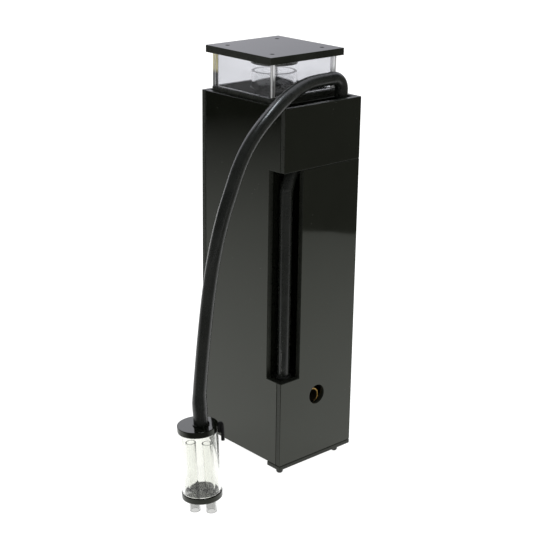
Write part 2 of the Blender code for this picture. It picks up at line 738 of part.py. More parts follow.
def build_cable_grommet():
    """Rubber grommet of the pump's lead in the back panel, with a rim inside the casing."""
    rim_r = CABLE_GROMMET_R + CABLE_GROMMET_RIM
    neck = PANEL_T - GAP
    profile = [
        (CABLE_GROMMET_R, neck + GAP), (CABLE_GROMMET_R, 0), (rim_r, 0), (rim_r, -CABLE_GROMMET_RIM),
        (CABLE_R, -CABLE_GROMMET_RIM), (CABLE_R, neck + GAP),
    ]
    turned("cable_grommet", profile, "black_rubber", (CABLE_X, INNER_Y, CABLE_Z), "Y", SMALL_STEPS)


# ------------------------------------------------------------------ chamber
def chamber_plate(name, low, thickness):
    return box(
        name, (-INNER_X + GAP, -INNER_Y + GAP, low),
        (PARTITION_IN - GAP, INNER_Y - GAP, low + thickness), "black_acrylic",
    )


def build_chamber(outlet_x):
    floor = chamber_plate("chamber_floor", CHAMBER_FLOOR_Z, CHAMBER_FLOOR_T)
    combine(floor, round_cutter(
        "floor_hole_cutter", OUTLET_R + GAP, 4 * CHAMBER_FLOOR_T, (outlet_x, 0, CHAMBER_FLOOR_Z),
    ))
    bubble = chamber_plate("bubble_plate", BUBBLE_PLATE_Z, BUBBLE_PLATE_T)
    steps = [(index - (BUBBLE_ROWS - 1) / 2) * BUBBLE_PITCH for index in range(BUBBLE_ROWS)]
    centres = [(x, y) for x in steps for y in steps]
    combine(bubble, add_cutter(
        "bubble_hole_cutter",
        pins_mesh(
            "bubble_hole_cutter", centres, BUBBLE_HOLE_R, -BUBBLE_PLATE_T, 2 * BUBBLE_PLATE_T,
            BUBBLE_HOLE_STEPS,
        ),
        (CUP_X, 0, BUBBLE_PLATE_Z),
    ))
    deck = chamber_plate("deck_plate", DECK_Z, DECK_T)
    combine(deck, round_cutter(
        "deck_hole_cutter", NECK_R + 2 * GAP, 4 * DECK_T, (CUP_X, 0, DECK_Z),
    ))


# ------------------------------------------------------------------ cup and lid
def rounded_outline(half_x, half_y, corner):
    outline = []
    for turn, (side_x, side_y) in enumerate(((1, 1), (-1, 1), (-1, -1), (1, -1))):
        centre = (side_x * (half_x - corner), side_y * (half_y - corner))
        outline += arc(centre, corner, 90 * turn, 90 * turn + 90, CORNER_STEPS)
    return outline


def build_cup():
    flange = as_mesh(flat_outline(
        "cup_flange", rounded_outline(FLANGE_HALF_X, FLANGE_HALF_Y, FLANGE_CORNER), FLANGE_T,
        "black_acrylic", (CUP_X, 0, FLANGE_BOTTOM + FLANGE_T / 2),
    ))
    combine(flange, round_cutter(
        "flange_hole_cutter", NECK_R + GAP, 4 * FLANGE_T, (CUP_X, 0, FLANGE_TOP),
    ))
    pieces = [flange]
    for side, word in ((-1, "front"), (1, "back")):
        near, far = sorted((side * CUP_HALF_Y, side * (CUP_HALF_Y - CUP_WALL)))
        pieces.append(box(
            "cup_wall_" + word, (CUP_X - CUP_HALF_X, near, CUP_BOTTOM),
            (CUP_X + CUP_HALF_X, far, CUP_TOP), "clear_acrylic",
        ))
    reach = CUP_HALF_Y - CUP_WALL - GAP
    for side, word in ((-1, "left"), (1, "right")):
        near, far = sorted((CUP_X + side * CUP_HALF_X, CUP_X + side * (CUP_HALF_X - CUP_WALL)))
        pieces.append(box(
            "cup_wall_" + word, (near, -reach, CUP_BOTTOM), (far, reach, CUP_TOP),
            "clear_acrylic",
        ))
    neck_low = DECK_Z - NECK_DIP
    neck_high = FLANGE_TOP + NECK_RISE
    pieces.append(turned(
        "foam_neck", ring_profile(NECK_R, NECK_R - NECK_WALL, 0, neck_high - neck_low),
        "clear_acrylic", (CUP_X, 0, neck_low),
    ))
    seal_inner = NECK_R + GAP
    pieces.append(turned(
        "neck_seal", ring_profile(seal_inner + SEAL_WALL, seal_inner, 0, SEAL_T), "black_rubber",
        (CUP_X, 0, DECK_Z + DECK_T + GAP),
    ))
    carry(pieces, joint_empty("cup_joint", (CUP_X, 0, FLANGE_TOP)))


def build_lid():
    half_x = CUP_HALF_X + LID_OVER_X
    half_y = CUP_HALF_Y + LID_OVER_Y
    plate = box(
        "lid_plate", (CUP_X - half_x, -half_y, LID_BOTTOM),
        (CUP_X + half_x, half_y, LID_BOTTOM + LID_T), "black_acrylic",
    )
    offset = VENT_PITCH / 2
    centres = [(x, y) for x in (-offset, offset) for y in (-offset, offset)]
    vents = add_cutter(
        "vent_cutter",
        pins_mesh("vent_cutter", centres, VENT_R, -LID_T, 2 * LID_T, SMALL_STEPS),
        (CUP_X, 0, LID_BOTTOM),
    )
    combine(plate, vents)
    plug = turned(
        "lid_plug", disc_profile(LID_PLUG_R, 0, LID_PLUG_T), "black_acrylic",
        (CUP_X, 0, LID_BOTTOM - GAP - LID_PLUG_T),
    )
    carry((plate, plug, vents), joint_empty("lid_joint", (CUP_X, 0, LID_BOTTOM)))


# ------------------------------------------------------------------ silencer
def build_silencer():
    """Build every piece upright on its own base, under an empty that leans and turns them."""
    base = joint_empty("silencer_base", SILENCER_BASE)
    base.rotation_euler = (0, -SILENCER_LEAN, SILENCER_HEADING)
    half_pitch = SUCTION_PITCH / 2
    low_cap_top = SUCTION_BELOW + SILENCER_CAP_T
    high_cap_bottom = SILENCER_H - SILENCER_CAP_T
    low_cap = turned(
        "silencer_bottom_cap", disc_profile(SILENCER_CAP_R, SUCTION_BELOW, low_cap_top),
        "black_acrylic",
    )
    holes = add_cutter(
        "cap_hole_cutter",
        pins_mesh(
            "cap_hole_cutter", [(-half_pitch, 0), (half_pitch, 0)], SUCTION_R + GAP,
            SUCTION_BELOW - SILENCER_CAP_T, low_cap_top + SILENCER_CAP_T, SMALL_STEPS,
        ),
    )
    combine(low_cap, holes)
    tube = turned(
        "silencer_tube",
        ring_profile(
            SILENCER_R, SILENCER_R - SILENCER_WALL, low_cap_top + GAP, high_cap_bottom - GAP,
        ),
        "clear_acrylic",
    )
    high_cap = turned(
        "silencer_top_cap", disc_profile(SILENCER_CAP_R, high_cap_bottom, SILENCER_H),
        "black_acrylic",
    )
    nipple_low = SILENCER_H + GAP
    nipple = turned(
        "silencer_nipple",
        [
            (0, NIPPLE_TOP), (NIPPLE_NECK_R, NIPPLE_TOP), (NIPPLE_NECK_R, nipple_low + NIPPLE_H / 2),
            (NIPPLE_R, nipple_low + NIPPLE_H / 3), (NIPPLE_R, nipple_low), (0, nipple_low),
        ],
        "black_acrylic", (NIPPLE_OFFSET, 0, 0), steps=SMALL_STEPS,
    )
    hook_place = Vector((SILENCER_CAP_R + HOOK_R + GAP, HOOK_Y, SILENCER_H))
    hook_path = [hook_place + Vector((out, 0, up)) * MM for out, up in HOOK_PATH_MM]
    hook = rod("silencer_hook", smooth_route(hook_path, HOOK_R), HOOK_R, "black_rubber", 2)
    pieces = [low_cap, holes, tube, high_cap, nipple, hook]
    for side, word in ((-1, "left"), (1, "right")):
        pieces.append(turned(
            "suction_tube_" + word,
            ring_profile(SUCTION_R, SUCTION_R - SUCTION_WALL, 0, SUCTION_LENGTH), "clear_acrylic",
            (side * half_pitch, 0, 0), steps=SMALL_STEPS,
        ))
    for piece in pieces:
        piece.parent = base


clear_scene()
PARTS = new_collection("hang_on_back_filter")
CUTTERS = new_collection("cutters")

build_front_panel()
build_back_panel()
build_side_panels()
build_base()
build_channel()
build_inner_hose()
build_hose_elbow()
build_free_hose()
volute_outlet_x = build_pump_housing()
build_intake()
build_rotor()
build_pump_cradle()
build_cable_grommet()
build_chamber(volute_outlet_x)
build_cup()
build_lid()
build_silencer()
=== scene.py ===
"""Finished pieces and studio for a hang-on-back filter with a foam cup.

Glossy black acrylic sheet, clear cast acrylic, satin hose rubber and moulded pump plastic are
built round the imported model, which stays as the fixed frame. Metres, +Z up, the front is -Y.
"""

import json
import math

import bmesh
import bpy
from mathutils import Matrix, Vector

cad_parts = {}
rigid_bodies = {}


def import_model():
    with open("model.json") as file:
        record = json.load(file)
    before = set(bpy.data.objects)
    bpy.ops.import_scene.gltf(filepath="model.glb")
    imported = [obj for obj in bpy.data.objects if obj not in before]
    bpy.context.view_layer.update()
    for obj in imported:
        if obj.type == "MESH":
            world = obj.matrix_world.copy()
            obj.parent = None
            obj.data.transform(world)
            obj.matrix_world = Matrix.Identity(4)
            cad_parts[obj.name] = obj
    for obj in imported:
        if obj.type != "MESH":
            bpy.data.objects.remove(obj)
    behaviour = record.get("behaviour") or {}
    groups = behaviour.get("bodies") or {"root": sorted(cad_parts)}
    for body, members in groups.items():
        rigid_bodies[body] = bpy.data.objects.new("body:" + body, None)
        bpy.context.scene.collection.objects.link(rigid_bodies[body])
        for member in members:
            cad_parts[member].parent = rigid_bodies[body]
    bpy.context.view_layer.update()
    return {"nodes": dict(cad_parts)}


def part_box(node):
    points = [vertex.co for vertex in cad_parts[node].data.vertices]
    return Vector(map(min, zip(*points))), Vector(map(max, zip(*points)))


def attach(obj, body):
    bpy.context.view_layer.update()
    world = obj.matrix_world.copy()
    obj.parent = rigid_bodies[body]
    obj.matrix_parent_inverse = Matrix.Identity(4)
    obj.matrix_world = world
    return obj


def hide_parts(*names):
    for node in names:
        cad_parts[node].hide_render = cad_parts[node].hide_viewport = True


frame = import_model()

bl_info = {
    "name": "Foam Filter Finishes",
    "version": (1, 0, 0),
    "blender": (4, 5, 0),
    "location": "View3D > Sidebar > Filter",
    "description": "Builds the finished pieces of a hang-on-back filter round its frame",
    "category": "Object",
}

MM = 0.001
GAP = 0.3 * MM
AXES = {"X": Vector((1, 0, 0)), "Y": Vector((0, 1, 0)), "Z": Vector((0, 0, 1))}

# Route of the free hose: out of the elbow, over the front edge and down to the silencer's cap.
# Each point is followed by the hose's girth there, which grows where it is pushed over the nipple.
HOSE_ROUTE = (
    ((0.04000, 0.01750, 0.33960), 1.0), ((0.04010, 0.00600, 0.33950), 1.0),
    ((0.04095, -0.00700, 0.33880), 1.0), ((0.04350, -0.02050, 0.33660), 1.0),
    ((0.04715, -0.03350, 0.33330), 1.0), ((0.05000, -0.04300, 0.33040), 1.0),
    ((0.05260, -0.05200, 0.32672), 1.0), ((0.05469, -0.06151, 0.32165), 1.0),
    ((0.05619, -0.07151, 0.31507), 1.0), ((0.05719, -0.08101, 0.30700), 1.0),
    ((0.05778, -0.09002, 0.29612), 1.0), ((0.05798, -0.09752, 0.28315), 1.0),
    ((0.05797, -0.10402, 0.26817), 1.0), ((0.05787, -0.11053, 0.25220), 1.0),
    ((0.05767, -0.11703, 0.23172), 1.0), ((0.05736, -0.12223, 0.20925), 1.0),
    ((0.05706, -0.12663, 0.18227), 1.0), ((0.05686, -0.13014, 0.15430), 1.0),
    ((0.05645, -0.13284, 0.12632), 1.0), ((0.05585, -0.13424, 0.10535), 1.02),
    ((0.05583, -0.13432, 0.09775), 1.11), ((0.05608, -0.13414, 0.09276), 1.13),
    ((0.05638, -0.13393, 0.08677), 1.10), ((0.05671, -0.13369, 0.08009), 1.12),
)
# Bend of the hose behind the upper cover, as (back along Y, up) from where it starts to lean.
RISE_BEND = (
    (0.0, 0.0), (0.0014, 0.0104), (0.0054, 0.0200), (0.0143, 0.0306), (0.0302, 0.0388),
    (0.0462, 0.0467), (0.0554, 0.0564), (0.0597, 0.0660), (0.0605, 0.0730), (0.0605, 0.0800),
)


# ------------------------------------------------------------------ settings
def length(label, text, default):
    return bpy.props.FloatProperty(
        name=label, description=text, default=default, min=0.0, subtype="DISTANCE", unit="LENGTH",
    )


def share(label, text, default, top=1.0):
    return bpy.props.FloatProperty(
        name=label, description=text, default=default, min=0.0, max=top, subtype="FACTOR",
    )


def colour(label, text, default):
    return bpy.props.FloatVectorProperty(
        name=label, description=text, default=default, size=3, min=0.0, max=1.0, subtype="COLOR",
    )


def count(label, text, default):
    return bpy.props.IntProperty(name=label, description=text, default=default, min=3)


class SheetSettings(bpy.types.PropertyGroup):
    """Acrylic sheet of the casing, the cup and the lid"""

    black: colour("Black", "Colour of the black acrylic", (0.0030, 0.0034, 0.0024))
    sawn: colour("Sawn edge", "Colour of the black sheet's cut edges", (0.0058, 0.0064, 0.0050))
    sheen: colour("Sheen", "Tint of the black sheet's reflections", (0.95, 1.0, 0.86))
    clear: colour("Clear", "Tint of the cup's clear acrylic", (0.762, 0.766, 0.790))
    polish: share("Polish", "Roughness of the polished faces", 0.035)
    edge_round: length("Edge round", "Rounding of the sheets' edges", 0.4 * MM)
    clear_round: length("Clear edge round", "Rounding of the clear walls' edges", 0.3 * MM)
    flange_round: length("Flange round", "Rounding of the cup flange's rim", 1.1 * MM)


class HoseSettings(bpy.types.PropertyGroup):
    """Air hose, its elbow and the rubber grommets"""

    diameter: length("Diameter", "Outer diameter of the air hose", 11 * MM)
    rubber: colour("Rubber", "Colour of the hose", (0.0068, 0.0076, 0.0064))
    satin: share("Satin", "Roughness of the hose", 0.25)
    sides: count("Sides", "Faces round the hose", 40)


class SilencerSettings(bpy.types.PropertyGroup):
    """Clear air silencer at the hose's end"""

    clear: colour("Clear", "Tint of the clear tube", (0.930, 0.935, 0.905))
    suction_clear: colour("Suction tubes", "Tint of the suction tubes", (0.952, 0.956, 0.940))
    radius: length("Tube radius", "Outer radius of the clear tube", 16.3 * MM)
    wall: length("Tube wall", "Wall of the clear tube", 2.3 * MM)
    cap_radius: length("Cap radius", "Radius of the two caps", 16.8 * MM)
    cap_thickness: length("Cap thickness", "Thickness of the two caps", 5 * MM)
    height: length("Height", "Top of the upper cap above the suction tubes' feet", 78 * MM)
    suction_radius: length("Suction tube radius", "Outer radius of the suction tubes", 4.4 * MM)
    suction_wall: length("Suction tube wall", "Wall of the suction tubes", 1 * MM)
    suction_length: length("Suction tube length", "Length of the suction tubes", 62 * MM)


class PumpSettings(bpy.types.PropertyGroup):
    """Pump, rotor and what they sit in"""

    plastic: colour("Plastic", "Colour of the pump's moulded plastic", (0.012, 0.012, 0.013))
    amber: colour("Amber", "Colour of the intake pipe", (0.55, 0.34, 0.09))
    pins: count("Pins", "Needles on the wheel", 10)
    ribs: count("Ribs", "Cooling ribs on each side of the motor", 7)


class StudioSettings(bpy.types.PropertyGroup):
    """Floor, surroundings and lamps"""

    sky_colour: colour("Sky", "Surroundings that light the set", (1.0, 1.0, 1.0))
    dusk_colour: colour("Dusk", "Surroundings that the polish mirrors", (0.030, 0.032, 0.034))
    floor_glow: share("Floor glow", "Light the floor gives off by itself", 0.98)
    card_distance: length("Card distance", "Distance of the grey card on the right", 0.715)
    mat_radius: length("Mat radius", "Distance at which the floor goes dark in the polish", 1.45)
    key_power: bpy.props.FloatProperty(
        name="Key power", description="Power of the strip lamp overhead", default=9.0, min=0.0,
        unit="POWER",
    )


class FilterSettings(bpy.types.PropertyGroup):
    """All settings of the filter"""

    sheet: bpy.props.PointerProperty(type=SheetSettings)
    hose: bpy.props.PointerProperty(type=HoseSettings)
    silencer: bpy.props.PointerProperty(type=SilencerSettings)
    pump: bpy.props.PointerProperty(type=PumpSettings)
    studio: bpy.props.PointerProperty(type=StudioSettings)


# ------------------------------------------------------------------ shader maths
class Value:
    """A socket of a material. Sums, differences, products and quotients of it add Math nodes."""

    def __init__(self, finish, socket):
        self.finish = finish
        self.socket = socket

    def math(self, operation, first, second=0.0):
        inputs = {0: first, 1: second}
        return self.finish.add("ShaderNodeMath", {"operation": operation}, inputs)

    def __add__(self, other):
        return self.math("ADD", self, other)

    def __sub__(self, other):
        return self.math("SUBTRACT", self, other)

    def __mul__(self, other):
        return self.math("MULTIPLY", self, other)

    def __truediv__(self, other):
        return self.math("DIVIDE", self, other)

    def __rsub__(self, other):
        return self.math("SUBTRACT", other, self)

    __radd__ = __add__
    __rmul__ = __mul__


class Finish:
    """A procedural material while it is being put together."""

    def __init__(self, name):
        self.material = bpy.data.materials.new(name)
        self.material.use_nodes = True
        self.tree = self.material.node_tree
        self.tree.nodes.clear()
        self.place = self.add("ShaderNodeTexCoord", output="Object")

    def add(self, kind, settings=None, inputs=None, output=0):
        """Add a node, set its settings, then its sockets, and give back one of its outputs."""
        node = self.tree.nodes.new(kind)
        for key, value in (settings or {}).items():
            setattr(node, key, value)
        for key, value in (inputs or {}).items():
            if isinstance(value, Value):
                self.tree.links.new(value.socket, node.inputs[key])
            else:
                node.inputs[key].default_value = value
        return Value(self, node.outputs[output])

    def math_of(self, operation, first, second):
        return self.add("ShaderNodeMath", {"operation": operation}, {0: first, 1: second})

    def stretched(self, scale, vector=None):
        """The piece's own coordinates, scaled along each axis."""
        inputs = {"Vector": vector or self.place, "Scale": scale}
        return self.add("ShaderNodeMapping", None, inputs)

    def noise(self, scale, detail=3.0, roughness=0.5, vector=None):
        inputs = {
            "Vector": vector or self.place, "Scale": scale, "Detail": detail,
            "Roughness": roughness,
        }
        return self.add("ShaderNodeTexNoise", None, inputs)

    def cells(self, scale, vector=None):
        """Distance to the nearest of many scattered points."""
        inputs = {"Vector": vector or self.place, "Scale": scale}
        return self.add("ShaderNodeTexVoronoi", None, inputs)

    def step(self, value, low, high, low_to=0.0, high_to=1.0):
        """Carry a value from one range to another, held at both ends."""
        inputs = {"Value": value, "From Min": low, "From Max": high, "To Min": low_to}
        return self.add("ShaderNodeMapRange", None, {**inputs, "To Max": high_to})

    def blend(self, factor, first, second):
        """Mix two colours."""
        inputs = {0: factor, 6: (*first, 1.0) if isinstance(first, tuple) else first}
        inputs[7] = (*second, 1.0) if isinstance(second, tuple) else second
        return self.add("ShaderNodeMix", {"data_type": "RGBA"}, inputs, 2)

    def bump(self, height, distance, strength=1.0, normal=None):
        inputs = {"Height": height, "Distance": distance, "Strength": strength}
        if normal:
            inputs["Normal"] = normal
        return self.add("ShaderNodeBump", None, inputs)

    def surface(self, inputs):
        """The main shader, with its sockets by name."""
        colour_now = inputs.get("Base Color")
        if isinstance(colour_now, tuple) and len(colour_now) == 3:
            inputs["Base Color"] = (*colour_now, 1.0)
        return self.add("ShaderNodeBsdfPrincipled", None, inputs, "BSDF")

    def done(self, shader):
        node = self.tree.nodes.new("ShaderNodeOutputMaterial")
        self.tree.links.new(shader.socket, node.inputs["Surface"])
        return self.material


# ------------------------------------------------------------------ finishes
def lighter(colour_now, times):
    return tuple(min(1.0, c * times) for c in colour_now)


def make_black_sheet(name, settings):
    """Polished black acrylic: almost flat, with faint haze, lint and hairline scratches."""
    sheet = settings.sheet
    finish = Finish(name)
    black = tuple(sheet.black)
    haze = finish.step(finish.noise(22.0, 4.0, 0.6), 0.35, 0.75)
    lint_here = finish.step(finish.noise(60.0, 2.0), 0.55, 0.62)
    lint = finish.step(finish.cells(230.0), 0.045, 0.07, 1.0, 0.0) * lint_here
    grain = finish.noise(190.0, 3.0, 0.7, finish.stretched((1.0, 1.0, 0.05)))
    hairline = finish.step(grain, 0.70, 0.76)
    tone = finish.blend(haze * 0.5, black, lighter(black, 1.7))
    tone = finish.blend(lint * 0.5, tone, (0.16, 0.16, 0.15))
    rough = sheet.polish + haze * 0.035 + hairline * 0.05 + lint * 0.3
    waves = finish.noise(9.0, 2.0, 0.4)
    normal = finish.bump(waves, 0.8 * MM, 0.35)
    normal = finish.bump(hairline, 0.01 * MM, 0.3, normal)
    shader = finish.surface({
        "Base Color": tone, "Roughness": rough, "IOR": 1.49, "Normal": normal,
        "Specular Tint": (*sheet.sheen, 1.0),
    })
    return finish.done(shader)


def make_sawn_black(name, settings):
    """Cut edge of black acrylic: satin, with fine saw marks across it."""
    finish = Finish(name)
    sawn = tuple(settings.sheet.sawn)
    marks = finish.noise(900.0, 2.0, 0.6, finish.stretched((1.0, 1.0, 0.6)))
    blotch = finish.step(finish.noise(45.0, 3.0), 0.3, 0.7)
    tone = finish.blend(blotch, sawn, lighter(sawn, 1.7))
    rough = finish.step(marks, 0.3, 0.7, 0.24, 0.42)
    shader = finish.surface({
        "Base Color": tone, "Roughness": rough, "IOR": 1.49,
        "Normal": finish.bump(marks, 0.03 * MM, 0.5), "Specular IOR Level": 0.3,
        "Specular Tint": (*settings.sheet.sheen, 1.0),
    })
    return finish.done(shader)


def make_sanded_black(name, settings):
    """Sanded black acrylic of the cup's floor, which hardly shines."""
    finish = Finish(name)
    swirl = finish.noise(1300.0, 3.0, 0.6)
    film = finish.step(finish.noise(60.0, 4.0, 0.6), 0.35, 0.7)
    black = tuple(settings.sheet.black)
    shader = finish.surface({
        "Base Color": finish.blend(film, lighter(black, 1.3), lighter(black, 3.0)), "IOR": 1.49,
        "Roughness": finish.step(swirl, 0.3, 0.7, 0.55, 0.7), "Specular IOR Level": 0.02,
        "Normal": finish.bump(swirl, 0.03 * MM, 0.5),
    })
    return finish.done(shader)


def clear_shader(finish, inputs, shade):
    """Clear plastic that lets lamps through instead of casting a solid shadow."""
    glass = finish.surface(inputs)
    shadow = finish.add("ShaderNodeLightPath", output="Is Shadow Ray")
    through = finish.add("ShaderNodeBsdfTransparent", None, {"Color": (*shade, 1.0)})
    return finish.add("ShaderNodeMixShader", None, {0: shadow, 1: glass, 2: through})


def make_clear(name, tint, shade, foot=1.0, bend=1.49):
    """Clear cast acrylic with a trace of haze and a few scuffs along its height.

    Foot is how much of the colour is left in the lowest centimetre, as painted shade under the
    silencer's bottom cap, and bend is the index of refraction.
    """
    finish = Finish(name)
    height = finish.add("ShaderNodeSeparateXYZ", None, {0: finish.place}, 2)
    # Below 11 to 17 mm the tint is darkened by foot: painted shade under the silencer's bottom cap.
    rise = finish.step(height, 11 * MM, 17 * MM)
    haze = finish.step(finish.noise(38.0, 4.0, 0.6), 0.4, 0.8)
    scuff = finish.step(finish.noise(420.0, 2.0, 0.6, finish.stretched((1, 1, 0.12))), 0.7, 0.78)
    toned = finish.blend(haze, tint, lighter(tint, 0.965))
    shader = clear_shader(finish, {
        "Base Color": finish.blend(rise, lighter(tint, foot), toned), "IOR": bend,
        "Roughness": 0.006 + haze * 0.015 + scuff * 0.08, "Transmission Weight": 1.0,
        "Normal": finish.bump(haze, 0.02 * MM, 0.2),
    }, shade)
    return finish.done(shader)


def make_clear_edge(name, settings):
    """Cut edge of the cup's clear walls, with a warm tint at the left corner, painted light and shade for
    what shows through it, and a painted glow for the light it gathers.
    """
    finish = Finish(name)
    streak = finish.step(finish.noise(260.0, 3.0, 0.6, finish.stretched((1, 1, 0.1))), 0.3, 0.75)
    across = finish.add("ShaderNodeSeparateXYZ", None, {0: finish.place}, 0)
    height = finish.add("ShaderNodeSeparateXYZ", None, {0: finish.place}, 2)
    aside = finish.add("ShaderNodeSeparateXYZ", None, {0: finish.place}, 1)
    depth = 36.8 * MM - finish.math_of("ABSOLUTE", aside, 0.0)
    # At the left corner the edge is yellow above 342 mm; below 338 mm it is a dark painted shade standing
    # for the dark inside seen through it.
    left_corner_edge = finish.blend(streak, (0.78, 0.73, 0.47), (0.68, 0.60, 0.30))
    left_corner_edge = finish.blend(finish.step(height, 338 * MM, 342 * MM), (0.10, 0.10, 0.10), left_corner_edge)
    other_edges = finish.blend(streak, (0.66, 0.66, 0.67), (0.52, 0.52, 0.52))
    # Painted light and shade for what the edge shows through it: pale above 347 mm, dark below 341 mm, and
    # a dark painted line 1.5 to 2 mm in from the outer face.
    inner = finish.blend(finish.step(height, 341 * MM, 347 * MM), (0.12, 0.12, 0.12),
                         (0.84, 0.84, 0.86))
    inner = finish.blend(finish.step(depth, 1.9 * MM, 2.3 * MM), (0.16, 0.16, 0.16), inner)
    other_edges = finish.blend(finish.step(depth, 1.2 * MM, 1.5 * MM), other_edges, inner)
    tone = finish.blend(finish.step(across, -40 * MM, -36 * MM), left_corner_edge, other_edges)
    glued = finish.step(height, 328.1 * MM, 328.5 * MM)
    tone = finish.blend(glued, (0.03, 0.03, 0.03), tone)
    # The emission is a painted glow for the light the edge gathers.
    shader = clear_shader(finish, {
        "Base Color": tone, "Emission Color": tone, "Emission Strength": 0.3,
        "Roughness": 0.16 + streak * 0.2, "IOR": 1.49, "Transmission Weight": 0.3,
        "Normal": finish.bump(streak, 0.03 * MM, 0.4),
    }, (0.86, 0.85, 0.80))
    return finish.done(shader)


def make_clear_lip(name, settings):
    """Ground end of the clear neck, which scatters nearly all of the light it gathers; that light is a
    painted glow (emission).
    """
    finish = Finish(name)
    grain = finish.noise(900.0, 2.0, 0.5)
    tone = finish.blend(grain, (0.80, 0.80, 0.82), (0.88, 0.88, 0.90))
    shader = clear_shader(finish, {
        "Base Color": tone, "Emission Color": tone, "Emission Strength": 0.28,
        "Roughness": 0.4, "IOR": 1.49, "Transmission Weight": 0.3,
    }, (0.9, 0.9, 0.9))
    return finish.done(shader)


def make_clear_arris(name, settings):
    """Rounded arris of the clear walls, coloured as a thin dark line: painted shade for the dark parts
    behind it that it bends into view.
    """
    finish = Finish(name)
    streak = finish.noise(300.0, 3.0, 0.6, finish.stretched((1, 1, 0.2)))
    shader = clear_shader(finish, {
        "Base Color": finish.blend(streak, (0.16, 0.16, 0.15), (0.42, 0.42, 0.40)),
        "Roughness": 0.1 + streak * 0.1, "IOR": 1.49, "Transmission Weight": 0.2,
    }, (0.7, 0.7, 0.7))
    return finish.done(shader)


def make_hose_rubber(name, settings):
    """Satin extruded hose: die lines along it, a dusty bloom and a fine grain."""
    hose = settings.hose
    finish = Finish(name)
    along = finish.add("ShaderNodeTexCoord", output="UV")
    lines = finish.noise(1.0, 3.0, 0.55, finish.stretched((1.5, 70.0, 1.0), along))
    bloom = finish.step(finish.noise(55.0, 5.0, 0.65), 0.38, 0.72)
    grain = finish.noise(1900.0, 2.0, 0.6)
    rubber = tuple(hose.rubber)
    tone = finish.blend(bloom * 0.55, rubber, lighter(rubber, 2.1))
    rough = hose.satin - 0.05 + bloom * 0.09 + finish.step(lines, 0.35, 0.65, 0.0, 0.07)
    normal = finish.bump(lines, 0.006 * MM, 0.5)
    normal = finish.bump(grain, 0.003 * MM, 0.2, normal)
    shader = finish.surface({
        "Base Color": tone, "Roughness": rough, "IOR": 1.5, "Normal": normal,
    })
    return finish.done(shader)


def make_moulded(name, base, rough, grain_scale=1400.0, metallic=0.0, shine=0.5):
    """Moulded or pressed material: a fine grain, soft blotches and a scuffed bloom."""
    finish = Finish(name)
    grain = finish.noise(grain_scale, 2.0, 0.6)
    blotch = finish.step(finish.noise(70.0, 4.0, 0.6), 0.35, 0.7)
    tone = finish.blend(blotch * 0.6, base, lighter(base, 1.6))
    roughness = finish.step(blotch, 0.0, 1.0, rough - 0.05, rough + 0.08)
    shader = finish.surface({
        "Base Color": tone, "Roughness": roughness, "IOR": 1.5, "Metallic": metallic,
        "Specular IOR Level": shine,
        "Normal": finish.bump(grain, 0.03 * MM, 0.4),
    })
    return finish.done(shader)


def make_amber(name, settings):
    """Yellowed clear acrylic of the intake pipe."""
    finish = Finish(name)
    amber = tuple(settings.pump.amber)
    cloud = finish.step(finish.noise(150.0, 4.0, 0.6), 0.3, 0.75)
    shader = finish.surface({
        "Base Color": finish.blend(cloud, amber, lighter(amber, 0.6)),
        "Roughness": 0.18 + cloud * 0.2, "IOR": 1.49,
        "Normal": finish.bump(cloud, 0.05 * MM, 0.4), "Transmission Weight": 0.25,
    })
    return finish.done(shader)


MAKERS = {
    "black_sheet": make_black_sheet,
    "sawn_black": make_sawn_black,
    "clear_sheet": lambda name, s: make_clear(
        name, tuple(s.sheet.clear), (0.93, 0.93, 0.94), 1.0, 1.38),
    "clear_neck": lambda name, s: make_clear(name, (0.965, 0.966, 0.968), (0.97, 0.97, 0.97)),
    "clear_tube": lambda name, s: make_clear(name, tuple(s.silencer.clear), (0.97, 0.97, 0.96)),
    # The suction tubes keep 0.62 of their tint in the lowest centimetre, as painted shade under the bottom
    # cap.
    "suction_clear": lambda name, s: make_clear(
        name, tuple(s.silencer.suction_clear), (0.95, 0.95, 0.93), 0.62),
    "sanded_black": make_sanded_black,
    "buffed_rim": lambda name, s: make_moulded(name, lighter(tuple(s.sheet.sawn), 2.0), 0.26),
    "clear_edge": make_clear_edge,
    "clear_lip": make_clear_lip,
    "clear_arris": make_clear_arris,
    "satin_hose": make_hose_rubber,
    "amber_cut": make_amber,
    "soft_rubber": lambda name, s: make_moulded(name, tuple(s.hose.rubber), 0.52, 900.0),
    "moulded_black": lambda name, s: make_moulded(name, tuple(s.pump.plastic), 0.44),
    "hanger_plastic": lambda name, s: make_moulded(
        name, lighter(tuple(s.pump.plastic), 0.3), 0.5, 1400.0, 0.0, 0.22),
    # Walls of the intake pipe: its amber painted dark, as shade.
    "pipe_wall": lambda name, s: make_moulded(name, (0.012, 0.009, 0.004), 0.4),
    "moulded_white": lambda name, s: make_moulded(name, (0.62, 0.62, 0.59), 0.4),
    "pressed_ferrite": lambda name, s: make_moulded(name, (0.05, 0.05, 0.054), 0.5, 700.0, 0.35),
    "glazed_ceramic": lambda name, s: make_moulded(name, (0.74, 0.73, 0.69), 0.22),
}


def finish_named(name, settings):
    """The finish of that name, made the first time it is asked for."""
    return bpy.data.materials.get(name) or MAKERS[name](name, settings)


# ------------------------------------------------------------------ shapes
def middle(node):
    low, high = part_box(node)
    return (low + high) / 2


def new_object(name, shape):
    mesh = bpy.data.meshes.new(name)
    shape.to_mesh(mesh)
    shape.free()
    obj = bpy.data.objects.new(name, mesh)
    bpy.context.scene.collection.objects.link(obj)
    return obj


